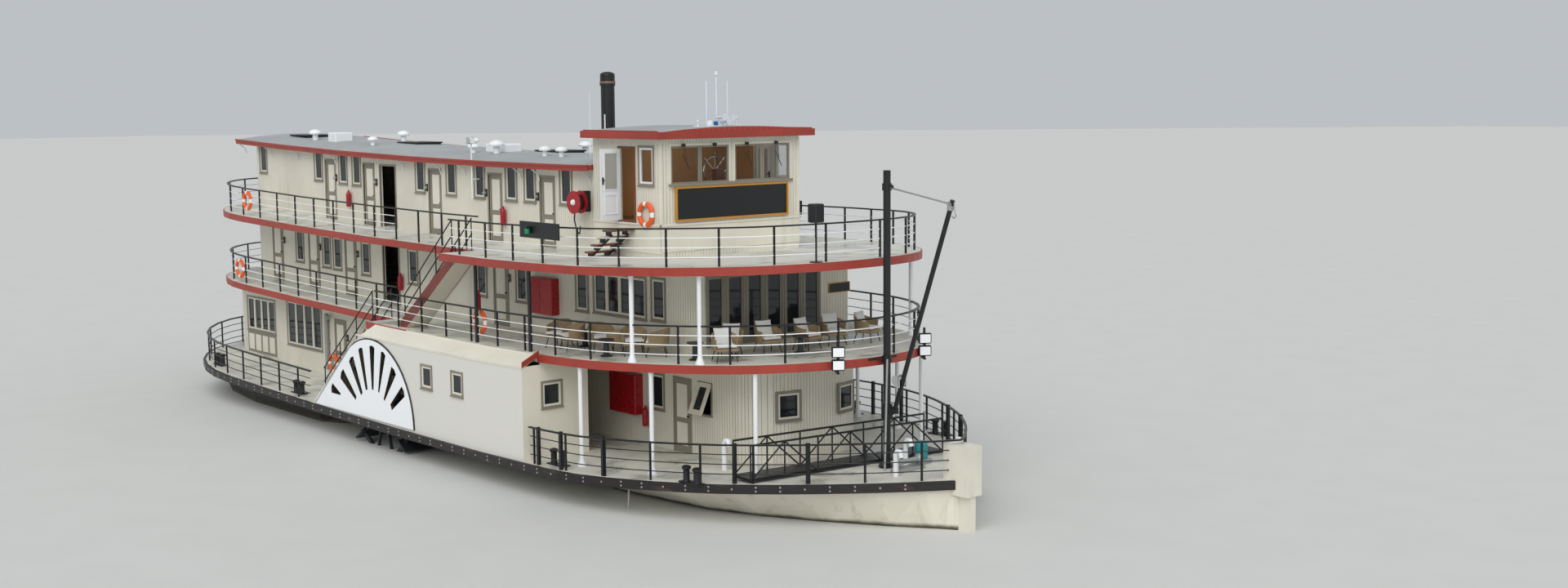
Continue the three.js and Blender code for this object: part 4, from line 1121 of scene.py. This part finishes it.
BUOYS = [
    (8.56, -2.6, 7.52),
    (-13.1, -4.24, THIRD + rise(-13.1) + 0.55),
    (-14.0, -4.22, SECOND + rise(-14.0) + 0.5),
    (3.78, -5.0, SECOND + rise(3.78) + 0.56),
    (-8.76, -3.28, MAIN + rise(-8.76) + 0.52),
]
pattern = lifebuoy()
buoys = [moved_copy(pattern, at(*place)) for place in BUOYS]
removed(pattern)
fitted_both("lifebuoys", buoys)

# %% Extinguishers and cabinets
BOTTLE = [(0.07, 0), (0.085, 0.03), (0.085, 0.42), (0.06, 0.5), (0.025, 0.53), (0.025, 0.58)]
NOZZLE = [(0, 0, 0.56), (0.09, -0.02, 0.58), (0.12, -0.02, 0.45), (0.1, -0.02, 0.2)]
EXTINGUISHERS = [
    # x, wall's half breadth, deck
    (1.08, CABIN, THIRD), (-8.88, CABIN, THIRD), (-4.75, HOUSE_2, SECOND),
    (3.78, 4.95, SECOND + 0.35), (7.75, 2.02, MAIN),
]
CABINETS = [
    ((3.2, -2.98, SECOND + rise(3.8) + 0.6), (4.43, -2.68, SECOND + rise(3.8) + 1.67)),
    ((6.25, -2.28, MAIN + rise(6.7) + 0.85), (7.5, -1.98, MAIN + rise(6.7) + 2.0)),
]
rows = []
for x, wall, deck_top in EXTINGUISHERS:
    place = (x, -wall - 0.1, deck_top + rise(x) + 0.55)
    rows.append((fire_red, turned, "bottle", BOTTLE, 14, place))
    rows.append((fire_red, bent, "nozzle", [Vector(place) + Vector(step) for step in NOZZLE], 0.014, 1))
for low, high in CABINETS:
    middle = (low[0] + high[0]) / 2
    rows.append((fire_red, block, "cabinet", low, high, 0.02))
    seam_low = (middle - 0.005, low[1] - 0.006, low[2] + 0.04)
    seam_high = (middle + 0.005, low[1] + 0.002, high[2] - 0.04)
    rows.append((fire_red, block, "seam", seam_low, seam_high))

# %% Hose reel
REEL_X, OUT = 5.5, (0, -1, 0)
reel_z = THIRD + rise(REEL_X) + 1.45
BARREL, DISC = [(0.22, 0), (0.22, 0.22)], [(0.33, 0), (0.33, 0.03)]
HUB = [(0.09, 0), (0.07, 0.05), (0.02, 0.06)]
HOSE = [(-0.2, 7.55), (-0.23, 7.2), (-0.12, 6.9), (0.02, 6.82), (0.06, 7.05)]
hose = [(REEL_X + along, -2.68, height) for along, height in HOSE]
rows.append((black, turned, "drum", BARREL, 20, (REEL_X, -2.62, reel_z), OUT))
rows += [(fire_red, turned, "disc", DISC, 24, (REEL_X, y, reel_z), OUT) for y in (-2.6, -2.84)]
rows.append((white, turned, "hub", HUB, 16, (REEL_X, -2.87, reel_z), OUT))
rows.append((black, bent, "hose", hose, 0.02, 2))
rows.append((black, block, "bracket", (REEL_X - 0.1, -2.62, 7.45), (REEL_X + 0.1, -2.32, 8.05), 0.01))
fitted_both("fire_gear", parts(rows))

# %% Lamps beside the doors, and floodlights on the deck's edge
pale = paint("pale_galvanised_steel", "A9ABA8", 0.4, 0.15, 0.05, 0.3, 0.5)[0]
GLOBE = [(0.05, 0), (0.055, 0.05), (0.04, 0.1), (0.015, 0.12)]
WALL_LAMPS = [
    # wall's half breadth, deck, places along the ship
    (CABIN, THIRD, (-9.9, -7.0, -3.6, 0.0, 2.9)),
    (HOUSE_2, SECOND, (-13.45, -10.6, -7.8, 1.8)),
    (HOUSE_1, MAIN, (-7.9,)),
]
rows = []
for wall, deck_top, places in WALL_LAMPS:
    for x in places:
        z = deck_top + rise(x) + 1.5
        low, high = (x - 0.06, -wall - 0.04, z - 0.12), (x + 0.06, -wall, z + 0.12)
        rows.append((black, block, "base", low, high, 0.01))
        rows.append((pale, turned, "globe", GLOBE, 12, (x, -wall - 0.03, z), OUT))
fitted_both("wall_lamps", parts(rows))

lens_paint = paint("frosted_lens", "F4F6F8", 0.3, 0.02, 0.0, 0.0)[0]
FLOOD_TURN = 56
rows = [
    (black, block, "arm", (-0.03, -0.12, -0.1), (0.03, 0.3, -0.06)),
    (black, block, "stem", (-0.03, -0.04, -0.1), (0.03, 0.0, 0.75)),
]
for low in (0.0, 0.33):
    rows.append((black, block, "housing", (-0.17, -0.16, low), (0.17, -0.02, low + 0.28), 0.02))
    rows.append((lens_paint, block, "lens", (-0.14, -0.172, low + 0.03), (0.14, -0.156, low + 0.25)))
flood = joined("flood", parts(rows))
floods = [moved_copy(flood, at(*place, FLOOD_TURN)) for place in ((14.98, -1.45, 3.83), (14.78, 1.9, 3.83))]
removed(flood)
fitted("deck_floodlights", floods)

# %% Navigation boards and the box on its stand
PORT_AFT = 2.6


def navigation_board(colour):
    """A board on the starboard rail with one lamp near its aft end."""
    rows = [(black, block, "board", (6.75, -5.5, 6.98), (8.6, -5.45, 7.42), 0.01)]
    for x in (7.0, 8.35):
        rows.append((black, block, "strap", (x - 0.03, -5.46, 7.0), (x + 0.03, -5.38, 7.36)))
    rows.append((colour, turned, "lamp", [(0.07, 0), (0.07, 0.14), (0.02, 0.18)], 14, (7.25, -5.58, 7.1)))
    rows.append((black, block, "hood", (7.15, -5.66, 7.26), (7.35, -5.48, 7.29)))
    return parts(rows)


green = paint("navigation_green", "0E8F5A", 0.3, 0.1, 0.0)[0]
fitted("navigation_board_starboard", navigation_board(green))
pattern = joined("board", navigation_board(fire_red))
fitted("navigation_board_port", [moved_copy(pattern, at(-PORT_AFT, 0, 0) @ ACROSS)])
removed(pattern)

z = THIRD + rise(14.2)
rows = [
    (black, block, "box", (14.04, -1.61, z + 1.02), (14.36, -1.29, z + 1.5), 0.03),
    (black, rod, "stand", (14.2, -1.45, z), (14.2, -1.45, z + 1.04), 0.025, 8),
    (black, block, "foot", (14.08, -1.57, z), (14.32, -1.33, z + 0.03)),
]
fitted("box_on_stand", parts(rows))

# %% [markdown]
# ## Hull fittings
#
# The strake is held by bolts whose pale heads show in ones and twos. Twin bollards stand along the edge of
# the main deck, and a fender hangs over the port bow.

# %% Strake bolts
BOLT, BOLT_EVERY, STEM_X = [(0.028, 0), (0.024, 0.012), (0.01, 0.016)], 0.62, 17.4


def strake_points(spacing):
    """Places along the face of the strake, each with the direction that it faces."""
    line = deck_edge("main", 0.0)
    left, found = spacing / 2, []
    for (x0, y0), (x1, y1) in zip(line, line[1:]):
        length = math.hypot(x1 - x0, y1 - y0)
        while left < length:
            share = left / length
            facing = math.degrees(math.atan2(y1 - y0, x1 - x0)) + 90
            found.append((x0 + (x1 - x0) * share, y0 + (y1 - y0) * share, facing))
            left += spacing
        left -= length
    return found


pattern = painted(turned("bolt", BOLT, 8, (0, 0, 0), (0, 1, 0)), pale)
bolts = []
for index, (x, y, facing) in enumerate(strake_points(BOLT_EVERY)):
    for low in (0.06, 0.16) if index % 3 else (0.11,):
        if x <= STEM_X:
            bolts.append(moved_copy(pattern, at(x, y, MAIN + rise(x) - low, facing + 90)))
removed(pattern)
port = joined("strake_bolts_port", bolts)
starboard = moved_copy(port, ACROSS)
fitted("strake_bolts_port", [port])
fitted("strake_bolts_starboard", [starboard])

# %% Bollards and fender
BOLLARD = [(0.1, 0), (0.085, 0.04), (0.085, 0.3), (0.12, 0.33), (0.12, 0.38), (0.06, 0.41)]
rows = []
for x, y in ((8.3, -5.45), (12.9, -4.55), (-6.9, -5.5), (-13.6, -5.3)):
    z = MAIN + rise(x)
    rows.append((black, block, "foot", (x - 0.38, y - 0.14, z - 0.01), (x + 0.38, y + 0.14, z + 0.03), 0.01))
    rows += [(black, turned, "bollard", BOLLARD, 16, (x + shift, y, z + 0.02)) for shift in (-0.21, 0.21)]
fitted_both("bollards", parts(rows))

rubber = paint("worn_fender_rubber", "16171A", 0.75, 0.3, 0.0, 0.6)[0]
bpy.ops.mesh.primitive_torus_add(
    major_segments=28,
    minor_segments=10,
    major_radius=0.26,
    minor_radius=0.1,
    location=(16.25, edge_y("main", 16.25, -0.12), 0.86),
    rotation=(math.pi / 2, 0, math.radians(-32)),
)
fender = settled("bow_fender")
bpy.ops.object.shade_smooth_by_angle(angle=math.radians(60))
fitted("bow_fender", [painted(fender, rubber)])

# %% [markdown]
# ## Fittings of the stairs, the boxes and the houses' sides
#
# Round black handrails follow the slope of each flight on both sides. The paddle boxes have a red gable at
# their front and a cream line along their top, and two pipes are fixed to each side.

# %% Handrails
FLIGHTS = [
    # aft end, front end, lower deck, upper deck
    (-0.5, 2.55, SECOND, THIRD),
    (-5.95, -2.35, MAIN, SECOND),
]
rows = []
for aft, front, low, high in FLIGHTS:
    for y in (-4.44, -5.1):
        start, end = Vector((aft + 0.1, y, low + rise(aft))), Vector((front, y, high + rise(front)))
        for height in (0.5, 0.95):
            lift = Vector((0, 0, height))
            rows.append((black, rod, "rail", start + lift, end + lift, 0.02, 6))
        for share in (0.02, 0.34, 0.67, 0.99):
            foot = start.lerp(end, share)
            base, top = foot - Vector((0, 0, 0.05)), foot + Vector((0, 0, 0.96))
            rows.append((black, rod, "post", base, top, 0.02, 6))
fitted_both("stair_handrails", parts(rows))

# %% Trim of the paddle boxes and the pipes on the sides
BOX_SHOULDER, GABLE_RISE, GABLE_WIDE = 3.45, 0.27, 0.55
gable_end = (BOX_FRONT + 0.03, GABLE_WIDE - BOX_SIDE, BOX_SHOULDER + 0.15)
gable = block("red_gable", (BOX_FRONT, -BOX_SIDE, BOX_SHOULDER), gable_end)
for corner in gable.data.vertices:
    corner.co.z += rise(BOX_FRONT) + GABLE_RISE * (corner.co.y + BOX_SIDE) / GABLE_WIDE
edge_line = block("edge_line", (-2.0, -BOX_SIDE - 0.014, 3.42), (BOX_FRONT, -BOX_SIDE, 3.47))
editing(edge_line)
bpy.ops.mesh.subdivide(number_cuts=8)
done()
for corner in edge_line.data.vertices:
    corner.co.z += rise(corner.co.x)
fitted_both("paddle_box_trim", [painted(gable, brick_red), painted(edge_line, cream)])

EXHAUST = [
    (-9.3, -3.24, 1.25), (-9.3, -3.24, 2.95), (-9.24, -3.27, 3.12), (-9.1, -3.32, 3.2), (-8.94, -3.36, 3.12),
]
OVERBOARD = [(10.6, -4.72, 0.7), (10.62, -4.84, 0.55), (10.62, -4.86, 0.06)]
rows = [(pale, bent, "exhaust", EXHAUST, 0.075, 3)]
rows += [(pale, block, "clamp", (-9.4, -3.26, z), (-9.2, -3.14, z + 0.04)) for z in (1.5, 2.2, 2.9)]
rows.append((pale, bent, "overboard", OVERBOARD, 0.03, 2))
fitted_both("side_pipes", parts(rows))

# %% Gates in the main deck's railing, and the blank plate on the saloon
rows = []
for x in (7.9, 8.9, 10.4, 13.8, 15.3):
    y, z = -edge_y("main", x, RAIL_INSET), MAIN + rise(x)
    rows.append((black, block, "gate", (x - 0.045, y - 0.045, z), (x + 0.045, y + 0.045, z + 1.03), 0.006))
fitted_both("gate_posts", parts(rows))

rim = ring_frame("plate_rim", 0.82, 0.28, 0.02, -0.03, 0.0)
rim.data.transform(at(11.0, 2.35, 5.32, 90))
plate = block("plate", (11.0, 1.96, 5.2), (11.025, 2.74, 5.44), 0.004)
fitted("blank_plate", [painted(plate, black), painted(rim, sign_gold)])

# %% [markdown]
# ## Derrick, gangway and foredeck gear
#
# The derrick's boom hangs from the mast head by two wires. A bracket ties the mast to the edge of the
# second deck. Across the foredeck lies the gangway, a light bridge with a truss on each side, made from one
# bar between each pair of its knots.

# %% Fittings of the mast
MAST_X = 15.29
rows = [
    (black, rod, "head_band", (MAST_X, 0, 8.32), (MAST_X, 0, 8.5), 0.125, 14),
    (black, block, "head_eye", (15.38, -0.07, 8.36), (15.46, 0.07, 8.46)),
    (black, block, "mast_bracket", (14.7, -0.5, 3.98), (15.15, 0.5, 4.03)),
]
rows += [(black, rod, "stay", (14.95, y, 4.0), (15.25, y / 4, 4.0), 0.03, 6) for y in (-0.45, 0.45)]
rows.append((black, rod, "mast_band", (MAST_X, 0, 3.92), (MAST_X, 0, 4.08), 0.13, 14))
fitted("mast_fittings", parts(rows))

# %% Fittings and wires of the boom
boom_foot, boom_head = Vector((15.56, 0, 2.67)), Vector((17.56, 0, 8.16))
along_boom = (boom_head - boom_foot).normalized()
band = boom_head - along_boom * 0.25
sheave = band + Vector((0.02, 0, 0.14))
winch = boom_foot + along_boom * 0.75
sheave_half = Vector((0, 0.06, 0))
DRUM = [(0.13, -0.12), (0.08, -0.11), (0.08, 0.11), (0.13, 0.12)]
HOOK = [(0.05, -0.05), (0.07, -0.3), (0.12, -0.38), (0.04, -0.44), (-0.03, -0.38)]
rows = [
    (pale, rod, "boom_band", band, band + along_boom * 0.12, 0.085, 12),
    (pale, rod, "head_sheave", sheave - sheave_half, sheave + sheave_half, 0.07, 12),
    (bright, turned, "drum", DRUM, 16, winch + Vector((-0.12, 0, 0.12)), (0, 1, 0)),
]
for y in (-0.125, 0.125):
    low, high = winch + Vector((-0.14, y - 0.015, -0.05)), winch + Vector((0.04, y + 0.015, 0.2))
    rows.append((bright, block, "winch_frame", low, high))
rows.append((pale, bent, "hook", [boom_head + Vector((x, 0, z)) for x, z in HOOK], 0.016, 1))
fitted("boom_fittings", parts(rows), "boom")

span_start = Vector((MAST_X, 0, 8.41))
rows = []
for y in (-0.05, 0.05):
    aside = Vector((0, y, 0))
    rows.append((pale, rod, "wire", span_start + aside, sheave + aside, 0.011, 6))
span_wires = joined("derrick_span_wires", parts(rows))
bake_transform(span_wires)
print("span wires:", round((sheave - span_start).length, 2), "m each")

# %% Gangway
END, SIDE, LOW, HIGH, BAYS, RIBS, BAR = 3.1, 0.4, 0.05, 0.95, 6, 12, 0.022
knots = [2 * END * step / BAYS - END for step in range(BAYS + 1)]
rows = []
for y in (-SIDE, SIDE):
    lines = [((-END, LOW), (END, LOW), 0.035), ((-END, HIGH), (END, HIGH), 0.028)]
    lines += [((x, LOW), (x, HIGH), BAR) for x in knots]
    for index, (x, after) in enumerate(zip(knots, knots[1:])):
        ends = (LOW, HIGH) if index % 2 == 0 else (HIGH, LOW)
        lines.append(((x, ends[0]), (after, ends[1]), BAR))
    for (x0, z0), (x1, z1), radius in lines:
        rows.append((black, rod, "bar", (x0, y, z0), (x1, y, z1), radius, 6))
for step in range(RIBS + 1):
    x = 2 * END * step / RIBS - END
    rows.append((black, block, "rib", (x - 0.03, -SIDE, 0.03), (x + 0.03, SIDE, 0.06)))
rows.append((black, block, "walkway", (-END, 0.05 - SIDE, 0.06), (END, SIDE - 0.05, 0.085)))
gangway = joined("gangway", parts(rows))
gangway.data.transform(at(14.15, -0.55, MAIN + rise(14.2) + 0.02, 83))
fitted("gangway", [gangway])

# %% Vents, windlass and a stowed pump
teal = paint("teal_pump_paint", "2E8C93", 0.4, 0.1, 0.05)[0]
BARREL = [(0.13, -0.4), (0.13, -0.36), (0.07, -0.32), (0.06, 0), (0.07, 0.32), (0.13, 0.36), (0.13, 0.4)]
MOTOR = [(0.15, 0), (0.17, 0.05), (0.17, 0.42), (0.1, 0.48)]
rows = []
for x, y, tall in ((16.35, -0.75, 0.55), (16.1, 1.75, 0.5), (12.2, -2.9, 0.7), (15.35, 0.62, 0.55)):
    neck = [(0, 0), (0, tall), (0.06, tall + 0.1), (0.17, tall + 0.1), (0.2, tall - 0.05)]
    neck = [(x + out, y, MAIN + rise(x) + up) for out, up in neck]
    rows.append((white, bent, "neck", neck, 0.07, 3))
z = MAIN + rise(15.9)
rows += [
    (pale, rod, "pole", (15.84, -0.63, 1.25), (15.6, -0.3, 4.05), 0.028, 8),
    (pale, block, "windlass_bed", (15.8, -0.4, z), (16.2, 0.5, z + 0.1), 0.02),
    (pale, turned, "barrel", BARREL, 20, (16.0, 0.05, z + 0.25), (0, 1, 0)),
    (teal, turned, "motor", MOTOR, 18, (15.6, 0.95, z + 0.1)),
    (pale, block, "motor_foot", (15.4, 0.75, z), (15.8, 1.15, z + 0.12), 0.01),
]
fitted("foredeck_gear", parts(rows))

# %% [markdown]
# ## Deck chairs
#
# On the second deck stand cane chairs with pale cushions, a row along the starboard side and a group ahead
# of the saloon. Each has a shell that wraps round its back, four thin legs and two cushions. The cushions
# are crowned, and their sides draw in between the corners, where the piping holds them.

# %% Finishes of the chairs
cane, shader, colour, bump = paint("woven_cane", "A58E6A", 0.7, 0.15, 0.0, 0.2)
grooved(shader, colour, bump, place_axes(shader)[2], 0.035, 0.2, 0.006, 0.7)
cloth, shader, colour, bump = paint("seat_cloth", "E6E5E1", 0.9, 0.06, 0.0, 0.5)
x, y, _ = place_axes(shader)
grooved(shader, colour, bump, maths("ADD", x, y), 0.006, 0.2, 0.0015, 0.08)
shader.inputs["Sheen Weight"].default_value = 0.3

# %% Chair patterns
def chair_shell():
    """The woven back and arms: a band bent round the seat, highest behind it."""
    corners, faces, steps, wrap = [], [], 16, 250
    for index in range(steps + 1):
        angle = math.radians(wrap * (index / steps - 0.5))
        top = 0.6 + 0.17 * max(0.0, math.cos(angle * 0.72)) ** 2
        for radius, z in ((0.33, 0.3), (0.37, top), (0.34, top), (0.3, 0.3)):
            corners.append((radius * math.sin(angle), radius * math.cos(angle), z))
    for index in range(steps):
        for side in range(4):
            a, b = 4 * index + side, 4 * index + (side + 1) % 4
            faces.append((a, b, b + 4, a + 4))
    faces += [(0, 1, 2, 3), (4 * steps + 3, 4 * steps + 2, 4 * steps + 1, 4 * steps)]
    mesh = bpy.data.meshes.new("shell")
    mesh.from_pydata(corners, [], faces)
    piece = bpy.data.objects.new("shell", mesh)
    bpy.context.scene.collection.objects.link(piece)
    editing(piece)
    done(outward=True)
    bpy.ops.object.shade_smooth_by_angle(angle=math.radians(50))
    return piece


def chair_frame():
    """The shell, the seat's frame and four splayed legs."""
    rows = [(cane, chair_shell), (cane, block, "seat", (-0.29, -0.3, 0.28), (0.29, 0.24, 0.36), 0.02)]
    for x, y in ((-1, -1), (1, -1), (-1, 1), (1, 1)):
        rows.append((black, rod, "leg", (0.22 * x, 0.2 * y, 0.3), (0.28 * x, 0.27 * y, 0), 0.014, 6))
    return joined("chair", parts(rows))


DRAWN, PIPING_STEPS = 0.06, 40


def cushion(width, depth, thick):
    """A crowned cushion lying flat: full in the middle, drawn in along its sides, with piping round it."""

    def drawn_in(u, v):
        """A place on the cushion from shares of its half width and half depth."""
        return width / 2 * u * (1 - DRAWN * (1 - v * v)), depth / 2 * v * (1 - DRAWN * (1 - u * u))

    bpy.ops.mesh.primitive_cube_add(size=1)
    piece = settled("pad")
    editing(piece)
    bpy.ops.mesh.subdivide(number_cuts=5)
    done()
    for corner in piece.data.vertices:
        u, v, w = (2 * value for value in corner.co)
        full = (1 - u**4) * (1 - v**4)
        corner.co = (*drawn_in(u, v), thick / 2 * w * (0.55 + 0.45 * full))
    only(piece)
    bpy.ops.object.shade_smooth_by_angle(angle=math.radians(60))
    line = []
    for step in range(PIPING_STEPS):
        angle = math.tau * step / PIPING_STEPS
        reach = 1 / max(abs(math.cos(angle)), abs(math.sin(angle)))
        line.append((*drawn_in(reach * math.cos(angle), reach * math.sin(angle)), 0))
    return joined("cushion", [piece, bent("piping", line, 0.007, 1, closed=True)])


# %% Chairs in their places
CHAIRS = [
    # x, y, turn in degrees, with a back cushion
    (6.55, -4.15, 20, False),
    (7.25, -4.2, -15, False),
    (8.1, -3.85, 70, False),
    (8.75, -3.75, -60, False),
    (9.4, -3.7, 60, False),
    (10.15, -3.5, -40, False),
    (12.45, -3.05, 65, True),
    (11.75, -2.3, 40, True),
    (12.0, -1.2, 80, True),
    (12.35, -0.1, 100, True),
    (12.2, 1.0, 75, True),
    (12.5, 2.0, 110, True),
]
frame_pattern = chair_frame()
seat_pattern = cushion(0.5, 0.46, 0.11)
seat_pattern.data.transform(Matrix.Translation((0, -0.04, 0.42)))
back_pattern = cushion(0.46, 0.42, 0.12)
lean = Matrix.Rotation(math.radians(72), 4, "X")
back_pattern.data.transform(Matrix.Translation((0, 0.2, 0.64)) @ lean)
chairs, pads = [], []
for x, y, turn, has_back in CHAIRS:
    place = at(x, y, SECOND + rise(x), turn)
    chairs.append(moved_copy(frame_pattern, place))
    pads.append(moved_copy(seat_pattern, place))
    if has_back:
        pads.append(moved_copy(back_pattern, place))
removed(frame_pattern, seat_pattern, back_pattern)
fitted("deck_chairs", chairs)
chair_pads = fitted("chair_pads", [painted(pad, cloth) for pad in pads])

TABLE = [(0.17, 0), (0.17, 0.02), (0.08, 0.06), (0.07, 0.4), (0.22, 0.44), (0.22, 0.47)]
rows = []
for x, y in ((11.6, -3.35), (12.75, -0.7), (9.05, -4.35), (7.0, -3.6)):
    rows.append((cast_grey, turned, "table", TABLE, 18, (x, y, SECOND + rise(x))))
fitted("deck_tables", parts(rows))

# %% [markdown]
# ## Water level, light and the last checks
#
# The vessel floats, so the plain floor lies at the waterline and hides what is under water. The day was
# bright but overcast: the sky gives an even light from all round, and a sun veiled by cloud, high on the
# camera's left, gives the shapes their soft shade.

# %% Floor and lights
bpy.ops.mesh.primitive_plane_add(size=900, location=(0, 0, 0))
floor = settled("pale_floor")
painted(floor, paint("pale_floor_paint", "CFCFCB", 0.7, 0.02, 0.0, 0.0)[0])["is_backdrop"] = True

LAMPS = [
    # name, place, spread in degrees, strength
    ("veiled_sun", (24, -34, 46), 55, 1.7),
    ("bank_light", (70, -20, 20), 80, 0.5),
]
for name, place, spread, strength in LAMPS:
    bpy.ops.object.light_add(type="SUN", location=place)
    lamp = bpy.context.object
    lamp.name = name
    lamp.rotation_euler = (Vector((0, 0, 4)) - Vector(place)).to_track_quat("-Z", "Y").to_euler()
    lamp.data.energy = strength
    lamp.data.angle = math.radians(spread)
bpy.ops.object.light_add(type="POINT", location=(8.0, 0, 9.4))
lamp = bpy.context.object
lamp.name = "pilothouse_daylight"
lamp.data.energy = 30
lamp.data.shadow_soft_size = 0.15
lamp.visible_camera = False
lamp.visible_glossy = False
sky = bpy.data.worlds.new("overcast_sky")
sky.use_nodes = True
sky.node_tree.nodes["Background"].inputs["Color"].default_value = (0.82, 0.86, 0.90, 1)
sky.node_tree.nodes["Background"].inputs["Strength"].default_value = 0.62
bpy.context.scene.world = sky
bpy.context.scene.view_settings.view_transform = "Standard"

# %% Size of the dressed vessel
low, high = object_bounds()
print("dressed box:", [round(value, 3) for value in (*low, *high)])
